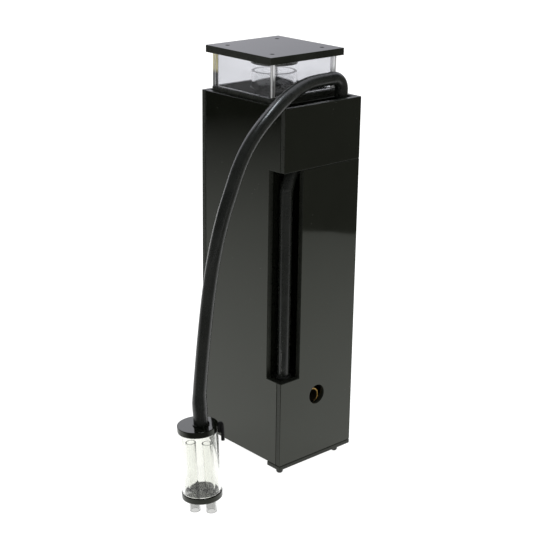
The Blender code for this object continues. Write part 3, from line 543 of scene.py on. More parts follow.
def settle(obj, body, slot, finishes, settings, *nodes):
    """Give a piece its finishes and its body, and hide the nodes that it stands for. Its slot is not used.
    """
    faces = obj.data.polygons if obj.type == "MESH" else ()
    chosen = [min(face.material_index, len(finishes) - 1) for face in faces]
    obj.data.materials.clear()
    for name in finishes:
        obj.data.materials.append(finish_named(name, settings))
    if faces:
        faces.foreach_set("material_index", chosen)
    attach(obj, body)
    if nodes:
        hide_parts(*nodes)
    return obj


def plain_mesh(obj):
    """Replace an object's data by its evaluated mesh, and drop its modifiers."""
    bpy.context.view_layer.update()
    evaluated = obj.evaluated_get(bpy.context.evaluated_depsgraph_get())
    mesh = bpy.data.meshes.new_from_object(evaluated)
    name = obj.name
    bpy.data.objects.remove(obj, do_unlink=True)
    made = bpy.data.objects.new(name, mesh)
    bpy.context.scene.collection.objects.link(made)
    return made


def block_shape(low, high):
    shape = bmesh.new()
    bmesh.ops.create_cube(shape, size=1.0)
    bmesh.ops.scale(shape, vec=Vector(high) - Vector(low), verts=shape.verts)
    bmesh.ops.translate(shape, vec=(Vector(low) + Vector(high)) / 2, verts=shape.verts)
    return shape


def post_shape(centre, radius, depth, axis="Z", steps=64, turn=None):
    """A closed cylinder round centre, along the named axis, or as turn places it."""
    turns = {
        "X": Matrix.Rotation(math.pi / 2, 4, "Y"), "Y": Matrix.Rotation(-math.pi / 2, 4, "X"),
        "Z": Matrix.Identity(4),
    }
    shape = bmesh.new()
    place = (turn or Matrix.Identity(4)) @ Matrix.Translation(centre) @ turns[axis]
    bmesh.ops.create_cone(
        shape, cap_ends=True, segments=steps, radius1=radius, radius2=radius, depth=depth,
        matrix=place,
    )
    return shape


def carve(obj, cutters):
    """Cut shapes out of an object."""
    for index, shape in enumerate(cutters):
        cutter = new_object("%s_cut_%d" % (obj.name, index), shape)
        modifier = obj.modifiers.new("cut", "BOOLEAN")
        modifier.operation = "DIFFERENCE"
        modifier.solver = "EXACT"
        modifier.object = cutter
    made = plain_mesh(obj)
    for index in range(len(cutters)):
        bpy.data.objects.remove(bpy.data.objects["%s_cut_%d" % (made.name, index)])
    return made


def soften(obj, width, thin_axis=None, segments=2, least_flat=6.0):
    """Round an object's sharp edges and sort its faces into polished (0) and sawn (1).

    Faces across thin_axis are polished, the others and all rounded edges are sawn.
    """
    shape = bmesh.new()
    shape.from_mesh(obj.data)
    bmesh.ops.remove_doubles(shape, verts=shape.verts, dist=0.002 * MM)
    bmesh.ops.dissolve_limit(
        shape, angle_limit=math.radians(0.4), verts=shape.verts, edges=shape.edges,
    )
    shape.normal_update()
    for face in shape.faces:
        across = thin_axis and abs(face.normal.dot(AXES[thin_axis])) > 0.99
        face.material_index = 0 if across or not thin_axis else 1
    sharp = [e for e in shape.edges if e.is_manifold and e.calc_face_angle() > math.radians(40)]
    bmesh.ops.bevel(
        shape, geom=sharp, offset=width, segments=segments, profile=0.5, affect="EDGES",
        clamp_overlap=True, material=1 if thin_axis else 0,
    )
    shape.normal_update()
    for face in shape.faces:
        straight = max(abs(c) for c in face.normal) > 0.9999
        face.smooth = not (straight and face.calc_area() > least_flat * MM * MM)
    shape.to_mesh(obj.data)
    shape.free()
    return obj


def rounded(profile, radius):
    """Round the corners of a (radius, height) profile, with a support point beside each.

    Points on the axis stay as they are.
    """
    closed = profile[0][0] > 1e-7
    points = [Vector(point) for point in profile]
    made = []
    for index, point in enumerate(points):
        if point.x < 1e-7 or (not closed and index in (0, len(points) - 1)):
            made.append(point)
            continue
        back = points[index - 1] - point
        ahead = points[(index + 1) % len(points)] - point
        reach = min(radius, back.length * 0.36, ahead.length * 0.36)
        back.normalize()
        ahead.normalize()
        start, end = point + back * reach, point + ahead * reach
        made.append(start + back * reach * 0.25)
        for t in (0.0, 0.33, 0.67, 1.0):
            made.append(start * (1 - t) ** 2 + point * 2 * t * (1 - t) + end * t * t)
        made.append(end + ahead * reach * 0.25)
    return made, closed


def lathe(name, profile, turn, radius=0.3 * MM, steps=96):
    """Turn a (radius, height) profile round turn's Z axis, with rounded corners."""
    points, closed = rounded(profile, radius)
    shape = bmesh.new()
    rings = []
    for point in points:
        if point.x < 1e-7:
            rings.append([shape.verts.new((0, 0, point.y))])
            continue
        angles = [2 * math.pi * step / steps for step in range(steps)]
        rings.append([
            shape.verts.new((point.x * math.cos(a), point.x * math.sin(a), point.y))
            for a in angles
        ])
    pairs = list(zip(rings, rings[1:])) + ([(rings[-1], rings[0])] if closed else [])
    for upper, lower in pairs:
        if len(upper) == len(lower) == 1:
            continue
        for step in range(steps):
            after = (step + 1) % steps
            corners = [upper[step % len(upper)], upper[after % len(upper)]]
            corners += [lower[after % len(lower)], lower[step % len(lower)]]
            face = shape.faces.new(list(dict.fromkeys(corners)))
            face.smooth = True
    bmesh.ops.recalc_face_normals(shape, faces=shape.faces)
    bmesh.ops.transform(shape, matrix=turn, verts=shape.verts)
    return new_object(name, shape)


def ring(outer, inner, low, high):
    return [(outer, high), (outer, low), (inner, low), (inner, high)]


def disc(outer, low, high):
    return [(0, high), (outer, high), (outer, low), (0, low)]


def turn_along(axis, place):
    """A frame at place whose Z lies along the named axis."""
    turns = {
        "X": Matrix.Rotation(math.pi / 2, 4, "Y"), "Y": Matrix.Rotation(-math.pi / 2, 4, "X"),
        "Z": Matrix.Identity(4),
    }
    return Matrix.Translation(place) @ turns[axis]


def ring_of_node(name, node, axis, inner, radius=0.3 * MM, steps=64):
    """A fine ring, or a disc where inner is 0, in the place of a round node along that axis."""
    low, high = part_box(node)
    centre = (low + high) / 2
    index = "XYZ".index(axis)
    other = (index + 1) % 3
    outer, half = (high[other] - low[other]) / 2, (high[index] - low[index]) / 2
    profile = ring(outer, inner, -half, half) if inner else disc(outer, -half, half)
    return lathe(name, profile, turn_along(axis, centre), radius, steps)


def sheet_of_node(name, node, width, thin_axis, cutters=(), segments=2):
    """A sheet in the place of a node, with its cuts and its rounded edges."""
    low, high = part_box(node)
    obj = new_object(name, block_shape(low, high))
    if cutters:
        obj = carve(obj, cutters)
    return soften(obj, width, thin_axis, segments)


def mark_faces(obj, chosen, index):
    """Give the faces whose normal is chosen that place in the object's list of finishes."""
    for face in obj.data.polygons:
        if chosen(face.normal):
            face.material_index = index


def copy_of_node(name, node, width, segments=2):
    """A welded copy of a node with its edges rounded."""
    shape = bmesh.new()
    shape.from_mesh(frame["nodes"][node].data)
    obj = new_object(name, shape)
    return soften(obj, width, None, segments, 12.0)


def smooth_points(points, parts=6):
    """Points of the smooth curve that passes through all the given ones."""
    ends = [points[0] * 2 - points[1], *points, points[-1] * 2 - points[-2]]
    fine = []
    for before, start, end, after in zip(ends, ends[1:], ends[2:], ends[3:]):
        for step in range(parts):
            t = step / parts
            fine.append(0.5 * (
                2 * start + (end - before) * t
                + (2 * before - 5 * start + 4 * end - after) * t ** 2
                + (3 * start - before - 3 * end + after) * t ** 3
            ))
    fine.append(points[-1])
    return fine


# ------------------------------------------------------------------ geometry nodes
class Nodes:
    """A Geometry Nodes tree while it is being put together."""

    def __init__(self, name, inputs):
        self.tree = bpy.data.node_groups.new(name, "GeometryNodeTree")
        face = self.tree.interface
        face.new_socket("Geometry", in_out="INPUT", socket_type="NodeSocketGeometry")
        for label, kind in inputs:
            face.new_socket(label, in_out="INPUT", socket_type=kind)
        face.new_socket("Geometry", in_out="OUTPUT", socket_type="NodeSocketGeometry")
        self.given = self.tree.nodes.new("NodeGroupInput")

    def add(self, kind, inputs=None, settings=None):
        """Add a node. A text value of a socket names one of the tree's own inputs."""
        node = self.tree.nodes.new(kind)
        for key, value in (settings or {}).items():
            setattr(node, key, value)
        for key, value in (inputs or {}).items():
            if isinstance(value, str):
                self.tree.links.new(self.given.outputs[value], node.inputs[key])
            elif isinstance(value, bpy.types.Node):
                self.tree.links.new(value.outputs[0], node.inputs[key])
            else:
                node.inputs[key].default_value = value
        return node

    def finish(self, made):
        """End in Realize Instances and Set Material."""
        real = self.add("GeometryNodeRealizeInstances", {0: made})
        smooth = self.add("GeometryNodeSetShadeSmooth", {0: real})
        painted = self.add("GeometryNodeSetMaterial", {"Geometry": smooth, "Material": "Finish"})
        end = self.tree.nodes.new("NodeGroupOutput")
        self.tree.links.new(painted.outputs[0], end.inputs[0])
        return self.tree


def grown(obj, tree, values):
    """Run a tree on an object with its inputs set by identifier, and keep the plain mesh."""
    modifier = obj.modifiers.new(tree.name, "NODES")
    modifier.node_group = tree
    for item in tree.interface.items_tree:
        if item.in_out == "INPUT" and item.name in values:
            modifier[item.identifier] = values[item.name]
    return plain_mesh(obj)


def tube_tree():
    """A tube along the object's own curve."""
    kinds = [
        ("Radius", "NodeSocketFloat"), ("Sides", "NodeSocketInt"),
        ("Finish", "NodeSocketMaterial"),
    ]
    nodes = Nodes("tube along a path", kinds)
    circle = nodes.add("GeometryNodeCurvePrimitiveCircle", {"Resolution": "Sides", 4: "Radius"})
    made = nodes.add(
        "GeometryNodeCurveToMesh",
        {"Curve": "Geometry", "Profile Curve": circle, "Fill Caps": True},
    )
    return nodes.finish(made)


def studs_tree():
    """A copy of a stud at every point of the object's mesh."""
    kinds = [("Stud", "NodeSocketObject"), ("Finish", "NodeSocketMaterial")]
    nodes = Nodes("studs on points", kinds)
    stud = nodes.add("GeometryNodeObjectInfo", {"Object": "Stud"})
    points = nodes.add("GeometryNodeInstanceOnPoints", {"Points": "Geometry"})
    nodes.tree.links.new(stud.outputs["Geometry"], points.inputs["Instance"])
    return nodes.finish(points)


def pins_tree():
    """Round pins standing on a circle."""
    kinds = [
        ("Count", "NodeSocketInt"), ("Circle", "NodeSocketFloat"), ("Radius", "NodeSocketFloat"),
        ("Length", "NodeSocketFloat"), ("Finish", "NodeSocketMaterial"),
    ]
    nodes = Nodes("pins on a circle", kinds)
    circle = nodes.add("GeometryNodeMeshCircle", {"Vertices": "Count", "Radius": "Circle"})
    pin = nodes.add(
        "GeometryNodeMeshCylinder",
        {"Vertices": 14, "Radius": "Radius", "Depth": "Length"},
    )
    made = nodes.add("GeometryNodeInstanceOnPoints", {"Points": circle, "Instance": pin})
    return nodes.finish(made)


def rims_tree():
    """Thin round rims on the points of a level grid."""
    kinds = [
        ("Count", "NodeSocketInt"), ("Span", "NodeSocketFloat"), ("Hole", "NodeSocketFloat"),
        ("Rim", "NodeSocketFloat"), ("Finish", "NodeSocketMaterial"),
    ]
    nodes = Nodes("rims on a grid", kinds)
    grid = nodes.add("GeometryNodeMeshGrid", {
        "Size X": "Span", "Size Y": "Span", "Vertices X": "Count", "Vertices Y": "Count",
    })
    circle = nodes.add("GeometryNodeCurvePrimitiveCircle", {"Resolution": 28, 4: "Hole"})
    wire = nodes.add("GeometryNodeCurvePrimitiveCircle", {"Resolution": 8, 4: "Rim"})
    rim = nodes.add("GeometryNodeCurveToMesh", {"Curve": circle, "Profile Curve": wire})
    made = nodes.add("GeometryNodeInstanceOnPoints", {"Points": grid, "Instance": rim})
    return nodes.finish(made)


def tree_named(name, maker):
    return bpy.data.node_groups.get(name) or maker()


def bare_object(name):
    obj = bpy.data.objects.new(name, bpy.data.meshes.new(name))
    bpy.context.scene.collection.objects.link(obj)
    return obj


def moved(obj, matrix):
    """Put a piece's place into its mesh."""
    obj.data.transform(matrix)
    obj.data.update()
    return obj


def tube(name, points, radius, sides, finish, girths=None):
    """A tube with closed ends along the points, which may change its girth on the way."""
    curve = bpy.data.curves.new(name, "CURVE")
    curve.dimensions = "3D"
    spline = curve.splines.new("POLY")
    spline.points.add(len(points) - 1)
    for index, (spline_point, place) in enumerate(zip(spline.points, points)):
        spline_point.co = (*place, 1.0)
        spline_point.radius = girths[index] if girths else 1.0
    obj = bpy.data.objects.new(name, curve)
    bpy.context.scene.collection.objects.link(obj)
    values = {"Radius": radius, "Sides": sides, "Finish": finish}
    made = grown(obj, tree_named("tube along a path", tube_tree), values)
    return tidy_tube(made)


def tidy_tube(obj):
    """Weld a tube's ends and turn its faces outwards."""
    shape = bmesh.new()
    shape.from_mesh(obj.data)
    bmesh.ops.remove_doubles(shape, verts=shape.verts, dist=0.002 * MM)
    bmesh.ops.recalc_face_normals(shape, faces=shape.faces)
    for face in shape.faces:
        face.smooth = len(face.verts) <= 4
    shape.to_mesh(obj.data)
    shape.free()
    return obj


def join(name, objects):
    """Join meshes into one object. Their finishes are set again by settle."""
    shape = bmesh.new()
    for obj in objects:
        shape.from_mesh(obj.data)
        bpy.data.objects.remove(obj, do_unlink=True)
    return new_object(name, shape)


# ------------------------------------------------------------------ silencer's own frame
def silencer_turn():
    """The silencer's frame: Z up its axis from the tubes' feet, X along its row of tubes."""
    low = middle("silencer_bottom_cap")
    up = (middle("silencer_top_cap") - low).normalized()
    out = middle("suction_tube_right") - middle("suction_tube_left")
    out = (out - up * out.dot(up)).normalized()
    side = up.cross(out)
    foot = (middle("suction_tube_right") + middle("suction_tube_left")) / 2
    foot -= up * SILENCER_TUBE_HALF
    turn = Matrix((out, side, up)).transposed().to_4x4()
    turn.translation = foot
    return turn


SILENCER_TUBE_HALF = 31 * MM
SUCTION_BELOW = 14 * MM
SUCTION_PITCH = 14 * MM
NIPPLE_OFFSET = 3 * MM


# ------------------------------------------------------------------ operators
class FOAMFILTER_OT_hoses(bpy.types.Operator):
    """Build the free hose with its curve, the elbow and the hose in the channel"""

    bl_idname = "foamfilter.hoses"
    bl_label = "Hoses"

    def execute(self, context):
        settings = context.scene.foam_filter
        hose = settings.hose
        curve = bpy.data.curves.new("air_hose", "CURVE")
        curve.dimensions = "3D"
        curve.bevel_depth = hose.diameter / 2
        curve.bevel_resolution = 8
        curve.resolution_u = 12
        curve.use_fill_caps = True
        spline = curve.splines.new("BEZIER")
        spline.bezier_points.add(len(HOSE_ROUTE) - 1)
        places = [Vector(place) for place, _ in HOSE_ROUTE]
        ends = [places[0] * 2 - places[1], *places, places[-1] * 2 - places[-2]]
        for index, knot in enumerate(spline.bezier_points):
            before, place, after = ends[index], ends[index + 1], ends[index + 2]
            along = (after - before).normalized() / 3
            knot.co = place
            knot.handle_left = place - along * (place - before).length
            knot.handle_right = place + along * (after - place).length
            knot.radius = HOSE_ROUTE[index][1]
        free = bpy.data.objects.new("air_hose", curve)
        context.scene.collection.objects.link(free)
        settle(free, "casing", "hose_rubber", ("satin_hose",), settings, "free_hose")

        rubber = finish_named("satin_hose", settings)
        low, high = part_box("inner_hose")
        front = Vector(((low.x + high.x) / 2, low.y + hose.diameter / 2, low.z))
        lean = high.z - RISE_BEND[-1][1]
        back = high.y - hose.diameter / 2 - front.y
        rise = [front + Vector((0, 0, (lean - front.z) * t)) for t in (0.0, 0.33, 0.66)]
        reach = back / RISE_BEND[-1][0]
        rise += [Vector((front.x, front.y + y * reach, lean + z)) for y, z in RISE_BEND]
        inner = tube("hose_in_channel", smooth_points(rise), hose.diameter / 2, hose.sides, rubber)
        settle(inner, "casing", "hose_rubber", ("satin_hose",), settings, "inner_hose")

        low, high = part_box("hose_elbow")
        radius = 5.6 * MM
        bend = 10.2 * MM
        level = high.z - 5.7 * MM
        upright = high.y - 5.7 * MM
        centre = Vector(((low.x + high.x) / 2, upright - bend, level - bend))
        path = [Vector((centre.x, upright, low.z - 0.2 * MM)), Vector((centre.x, upright, low.z + 1 * MM))]
        for step in range(25):
            angle = math.pi / 2 * step / 24
            path.append(centre + Vector((0, math.cos(angle), math.sin(angle))) * bend)
        path.append(Vector((centre.x, low.y + 1 * MM, level)))
        path.append(Vector((centre.x, low.y - 0.25 * MM, level)))
        girths = [0.985, 1.0] + [1.0] * (len(path) - 4) + [1.0, 0.985]
        elbow = tube("hose_bend", path, radius, hose.sides, rubber, girths)
        settle(elbow, "casing", "hose_rubber", ("satin_hose",), settings, "hose_elbow")
        return {"FINISHED"}


class FOAMFILTER_OT_silencer(bpy.types.Operator):
    """Build the silencer: caps, clear tube, suction tubes, nipple and hook"""

    bl_idname = "foamfilter.silencer"
    bl_label = "Silencer"

    def execute(self, context):
        settings = context.scene.foam_filter
        sizes = settings.silencer
        turn = silencer_turn()
        top, thick = sizes.height, sizes.cap_thickness
        half = SUCTION_PITCH / 2
        cap_low, cap_high = SUCTION_BELOW, SUCTION_BELOW + thick
        upper = lathe("silencer_cap_upper", disc(sizes.cap_radius, top - thick, top), turn, 0.5 * MM)
        settle(upper, "casing", "black_acrylic", ("black_sheet",), settings, "silencer_top_cap")
        lower = lathe("silencer_cap_lower", disc(sizes.cap_radius, cap_low, cap_high), turn, 0.5 * MM)
        holes = [
            post_shape((side * half, 0, (cap_low + cap_high) / 2), sizes.suction_radius + GAP / 2,
                       3 * thick, "Z", 48, turn)
            for side in (-1, 1)
        ]
        lower = carve(lower, holes)
        settle(lower, "casing", "black_acrylic", ("black_sheet",), settings, "silencer_bottom_cap")
        body = lathe(
            "silencer_shell",
            ring(sizes.radius, sizes.radius - sizes.wall, cap_high + GAP, top - thick - GAP), turn,
            0.2 * MM,
        )
        settle(body, "casing", "clear_acrylic", ("clear_tube",), settings, "silencer_tube")

        suction = ring(
            sizes.suction_radius, sizes.suction_radius - sizes.suction_wall, 0,
            sizes.suction_length,
        )
        stud = lathe("suction_form", suction, Matrix.Identity(4), 0.25 * MM, 56)
        pair = bare_object("suction_tubes")
        pair.data.from_pydata([(-half, 0, 0), (half, 0, 0)], [], [])
        values = {"Stud": stud, "Finish": finish_named("suction_clear", settings)}
        pair = moved(grown(pair, tree_named("studs on points", studs_tree), values), turn)
        bpy.data.objects.remove(stud, do_unlink=True)
        settle(
            pair, "casing", "clear_acrylic", ("suction_clear",), settings, "suction_tube_left",
            "suction_tube_right",
        )

        foot = turn @ Matrix.Translation((NIPPLE_OFFSET, 0, top + GAP / 2))
        barb = [
            (0, 7.4 * MM), (3.6 * MM, 7.4 * MM), (4.6 * MM, 5.4 * MM), (3.9 * MM, 5.2 * MM),
            (4.6 * MM, 3.4 * MM), (4.4 * MM, 1.0 * MM), (6.9 * MM, 0.9 * MM), (6.9 * MM, 0), (0, 0),
        ]
        nipple = lathe("silencer_barb", barb, foot, 0.2 * MM, 64)
        settle(nipple, "casing", "black_acrylic", ("black_sheet",), settings, "silencer_nipple")

        out = sizes.cap_radius + 1.8 * MM
        side = -1.68 * MM
        path = (
            (0.0, -5.0), (0.0, 1.6), (1.0, 2.9), (2.2, 1.7), (2.5, -1.5), (2.5, -6.0), (2.4, -12.0),
        )
        girth_of = (0.95, 1.0, 1.1, 1.15, 0.8, 0.72, 1.1)
        points = smooth_points([turn @ Vector((out + x * MM, side, top + z * MM)) for x, z in path])
        girths = [
            girth_of[index // 6] * (1 - index % 6 / 6)
            + girth_of[min(index // 6 + 1, len(path) - 1)] * (index % 6 / 6)
            for index in range(len(points))
        ]
        plastic = finish_named("hanger_plastic", settings)
        hook = tube("silencer_hanger", points, 1.5 * MM, 16, plastic, girths)
        settle(hook, "casing", "pump_plastic", ("hanger_plastic",), settings, "silencer_hook")

        return {"FINISHED"}


class FOAMFILTER_OT_casing(bpy.types.Operator):
    """Build the casing's black sheets with their notch, port and window, and the glue seams"""

    bl_idname = "foamfilter.casing"
    bl_label = "Casing"

    def execute(self, context):
        settings = context.scene.foam_filter
        width = settings.sheet.edge_round
        both = ("black_sheet", "sawn_black")
        far = 0.05
        front_low, front_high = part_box("front_panel")
        lower_low, lower_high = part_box("channel_panel_lower")
        upper_low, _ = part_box("channel_panel_upper")
        ledge_low, ledge_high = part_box("channel_ledge")
        notch_top = upper_low.z - GAP
        notch_x = lower_high.x - 18.2 * MM
        notch_y = lower_low.y + 21.3 * MM
        front_cut = block_shape((notch_x, front_low.y - far, ledge_high.z), (far * 2, 0, notch_top))
        front = sheet_of_node("front_sheet", "front_panel", width, "Y", [front_cut])
        settle(front, "casing", "black_acrylic", both, settings, "front_panel")

        side_cut = block_shape(
            (0, lower_low.y - far, ledge_high.z), (far * 2, notch_y, notch_top + far),
        )
        port = post_shape((lower_high.x, 0, 65 * MM), 8.5 * MM, 0.03, "X", 96)
        lower = sheet_of_node(
            "channel_sheet_lower", "channel_panel_lower", width, "X", [side_cut, port],
        )
        settle(lower, "casing", "black_acrylic", both, settings, "channel_panel_lower")
        for name, node in (("channel_sheet_upper", "channel_panel_upper"), ("left_sheet", "left_panel")):
            sheet = sheet_of_node(name, node, width, "X")
            settle(sheet, "casing", "black_acrylic", both, settings, node)

        back_low, back_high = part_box("back_panel")
        window_x = middle("deck_plate").x
        window = block_shape(
            (window_x - 18 * MM, back_low.y - far, 253 * MM),
            (window_x + 18 * MM, back_high.y + far, 271 * MM),
        )
        cable = middle("cable_grommet")
        cable_hole = post_shape((cable.x, back_high.y, cable.z), 6.3 * MM, 0.03, "Y", 64)
        back = sheet_of_node("back_sheet", "back_panel", width, "Y", [window, cable_hole])
        settle(back, "casing", "black_acrylic", both, settings, "back_panel")
        for node in ("base_plate", "base_bar_left", "base_bar_right"):
            sheet = sheet_of_node(node + "_sheet", node, width, "Z")
            settle(sheet, "casing", "black_acrylic", both, settings, node)

        # Solvent glue fills the joints between the sheets, a little below their faces.
        sink = 0.35 * MM
        left_low, left_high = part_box("left_panel")
        tall = (left_low.z + sink, left_high.z - sink)
        seams = []
        for x, segments in (
            (left_high.x, ((tall[0], tall[1]),)),
            (lower_low.x - GAP, ((tall[0], ledge_high.z - sink), (notch_top + sink, tall[1]))),
        ):
            for low_z, high_z in segments:
                seams.append(block_shape((x + 0.02 * MM, front_low.y + sink, low_z),
                                         (x + GAP - 0.02 * MM, front_high.y - sink, high_z)))
            seams.append(block_shape((x + 0.02 * MM, back_low.y + sink, tall[0]),
                                     (x + GAP - 0.02 * MM, back_high.y - sink, tall[1])))
        seams.append(block_shape(
            (lower_low.x + sink, notch_y + sink, notch_top + 0.02 * MM),
            (lower_high.x - sink, lower_high.y - sink, notch_top + GAP - 0.02 * MM),
        ))
        glue = join("glue_seams", [
            new_object("seam_%d" % index, shape) for index, shape in enumerate(seams)
        ])
        settle(glue, "casing", "black_acrylic", ("sawn_black",), settings)
        return {"FINISHED"}


class FOAMFILTER_OT_feet(bpy.types.Operator):
    """Build the four rubber feet"""

    bl_idname = "foamfilter.feet"
    bl_label = "Feet"

    def execute(self, context):
        settings = context.scene.foam_filter
        nodes = ("foot_front_left", "foot_front_right", "foot_rear_left", "foot_rear_right")
        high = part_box(nodes[0])[1].z
        radius = (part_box(nodes[0])[1].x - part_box(nodes[0])[0].x) / 2
        form = [
            (0, high), (radius, high), (radius, high * 0.46), (radius * 0.86, high * 0.16),
            (radius * 0.6, 0), (radius * 0.25, 0), (radius * 0.2, 0.3 * MM), (0, 0.3 * MM),
        ]
        stud = lathe("foot_form", form, Matrix.Identity(4), 0.25 * MM, 40)
        points = bare_object("feet")
        places = [middle(node) for node in nodes]
        points.data.from_pydata([(p.x, p.y, 0) for p in places], [], [])
        values = {"Stud": stud, "Finish": finish_named("soft_rubber", settings)}
        feet = grown(points, tree_named("studs on points", studs_tree), values)
        bpy.data.objects.remove(stud, do_unlink=True)
        settle(feet, "casing", "black_rubber", ("soft_rubber",), settings, *nodes)
        return {"FINISHED"}


class FOAMFILTER_OT_channel(bpy.types.Operator):
    """Build the hose channel: partition, ledge and grommet"""

    bl_idname = "foamfilter.channel"
    bl_label = "Hose channel"

    def execute(self, context):
        settings = context.scene.foam_filter
        width = settings.sheet.edge_round
        both = ("black_sheet", "sawn_black")
        partition = sheet_of_node("partition_sheet", "partition", width, "X")
        settle(partition, "casing", "black_acrylic", both, settings, "partition")
        grommet = middle("hose_grommet")
        low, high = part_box("hose_grommet")
        outer = (high.x - low.x) / 2
        hole = post_shape(grommet, outer + GAP / 2, 0.03, "Z", 72)
        ledge = sheet_of_node("ledge_sheet", "channel_ledge", 0.15 * MM, "Z", [hole])
        settle(ledge, "casing", "black_acrylic", both, settings, "channel_ledge")
        sleeve = ring_of_node(
            "grommet_sleeve", "hose_grommet", "Z", settings.hose.diameter / 2 + GAP / 2, 0.25 * MM, 72,
        )
        settle(sleeve, "casing", "black_rubber", ("soft_rubber",), settings, "hose_grommet")
        return {"FINISHED"}


class FOAMFILTER_OT_chamber(bpy.types.Operator):
    """Build the bubble chamber's floor, the perforated plate and the deck"""

    bl_idname = "foamfilter.chamber"
    bl_label = "Bubble chamber"

    def execute(self, context):
        settings = context.scene.foam_filter
        width = settings.sheet.edge_round
        both = ("black_sheet", "sawn_black")
        pipe = middle("outlet_pipe")
        hole = post_shape((pipe.x, 0, middle("chamber_floor").z), 8.3 * MM, 0.02, "Z", 72)
        floor = sheet_of_node("chamber_floor_sheet", "chamber_floor", width, "Z", [hole])
        settle(floor, "casing", "black_acrylic", both, settings, "chamber_floor")
        plate_centre = middle("bubble_plate")
        pitch, across = 15 * MM, 4
        offsets = [(index - (across - 1) / 2) * pitch for index in range(across)]
        punches = [
            post_shape((plate_centre.x + x, y, plate_centre.z), 2.4 * MM, 0.02, "Z", 20)
            for x in offsets for y in offsets
        ]
        plate = sheet_of_node("bubble_sheet", "bubble_plate", 0.2 * MM, "Z", punches)
        settle(plate, "casing", "black_acrylic", both, settings, "bubble_plate")
        rims = grown(bare_object("bubble_rims"), tree_named("rims on a grid", rims_tree), {
            "Count": across, "Span": pitch * (across - 1), "Hole": 2.75 * MM, "Rim": 0.22 * MM,
            "Finish": finish_named("sawn_black", settings),
        })
        moved(rims, Matrix.Translation((plate_centre.x, 0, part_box("bubble_plate")[1].z)))
        settle(rims, "casing", "black_acrylic", ("sawn_black",), settings)
        deck_centre = middle("deck_plate")
        neck_hole = post_shape(deck_centre, 18.6 * MM, 0.03, "Z", 96)
        deck = sheet_of_node("deck_sheet", "deck_plate", width, "Z", [neck_hole])
        settle(deck, "casing", "black_acrylic", both, settings, "deck_plate")
        return {"FINISHED"}


class FOAMFILTER_OT_pump(bpy.types.Operator):
    """Build the pump's housing, its pipes, cradle, bushes and the lead's grommet"""

    bl_idname = "foamfilter.pump"
    bl_label = "Pump"

    def execute(self, context):
        settings = context.scene.foam_filter
        plastic = ("moulded_black",)
        for node, width in (("motor_block", 0.4), ("pump_volute", 0.5), ("pump_cradle", 0.5)):
            piece = copy_of_node(node + "_moulding", node, width * MM)
            settle(piece, "casing", "pump_plastic", plastic, settings, node)
        low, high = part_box("motor_block")
        number = settings.pump.ribs
        spacing = (high.x - low.x - 12 * MM) / (number - 1)
        bar = new_object("rib_form", block_shape((-1 * MM, -0.9 * MM, -15 * MM),
                                                 (1 * MM, 0.9 * MM, 15 * MM)))
        soften(bar, 0.4 * MM)
        points = bare_object("motor_ribs")
        places = [
            (low.x + 6 * MM + index * spacing, side, (low.z + high.z) / 2)
            for index in range(number) for side in (low.y - 0.7 * MM, high.y + 0.7 * MM)
        ]
        points.data.from_pydata(places, [], [])
        values = {"Stud": bar, "Finish": finish_named("moulded_black", settings)}
        ribs = grown(points, tree_named("studs on points", studs_tree), values)
        bpy.data.objects.remove(bar, do_unlink=True)
        settle(ribs, "casing", "pump_plastic", plastic, settings)
        rounds = (
            ("volute_cover", "X", 6.0, "pump_plastic", "moulded_black"),
            ("outlet_pipe", "Z", 6.0, "pump_plastic", "moulded_black"),
            ("shaft_bush_front", "X", 1.8, "white_ceramic", "glazed_ceramic"),
            ("shaft_bush_rear", "X", 1.8, "white_ceramic", "glazed_ceramic"),
        )
        for node, axis, inner, slot, finish in rounds:
            piece = ring_of_node(node + "_turned", node, axis, inner * MM)
            settle(piece, "casing", slot, (finish,), settings, node)
        pipe = ring_of_node("intake_pipe_turned", "intake_pipe", "X", 6 * MM)
        # Faces along the pipe get the dark painted shade; only its cut ends keep the amber.
        mark_faces(pipe, lambda normal: abs(normal.x) < 0.6, 1)
        both = ("amber_cut", "pipe_wall")
        settle(pipe, "casing", "amber_acrylic", both, settings, "intake_pipe")
        grommet_low, grommet_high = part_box("cable_grommet")
        depth = grommet_high.y - grommet_low.y
        centre = Vector((middle("cable_grommet").x, grommet_low.y, middle("cable_grommet").z))
        profile = [
            (6 * MM, depth), (6 * MM, 2.4 * MM), (8.4 * MM, 2.4 * MM), (8.4 * MM, 0), (3 * MM, 0),
            (3 * MM, depth),
        ]
        grommet = lathe("cable_grommet_ring", profile, turn_along("Y", centre), 0.4 * MM, 64)
        settle(grommet, "casing", "black_rubber", ("soft_rubber",), settings, "cable_grommet")
        low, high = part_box("air_inlet_tube")
        radius = (high.x - low.x) / 2
        y_up, z_level = low.y + radius, low.z + radius
        bend = 8 * MM
        centre = Vector(((low.x + high.x) / 2, y_up + bend, z_level + bend))
        path = [Vector((centre.x, y_up, high.z))]
        for step in range(13):
            angle = math.pi + math.pi / 2 * step / 12
            path.append(centre + Vector((0, math.cos(angle), math.sin(angle))) * bend)
        path.append(Vector((centre.x, high.y, z_level)))
        air = tube("air_inlet_bend", path, radius, 28, finish_named("moulded_black", settings))
        settle(air, "casing", "pump_plastic", plastic, settings, "air_inlet_tube")
        return {"FINISHED"}


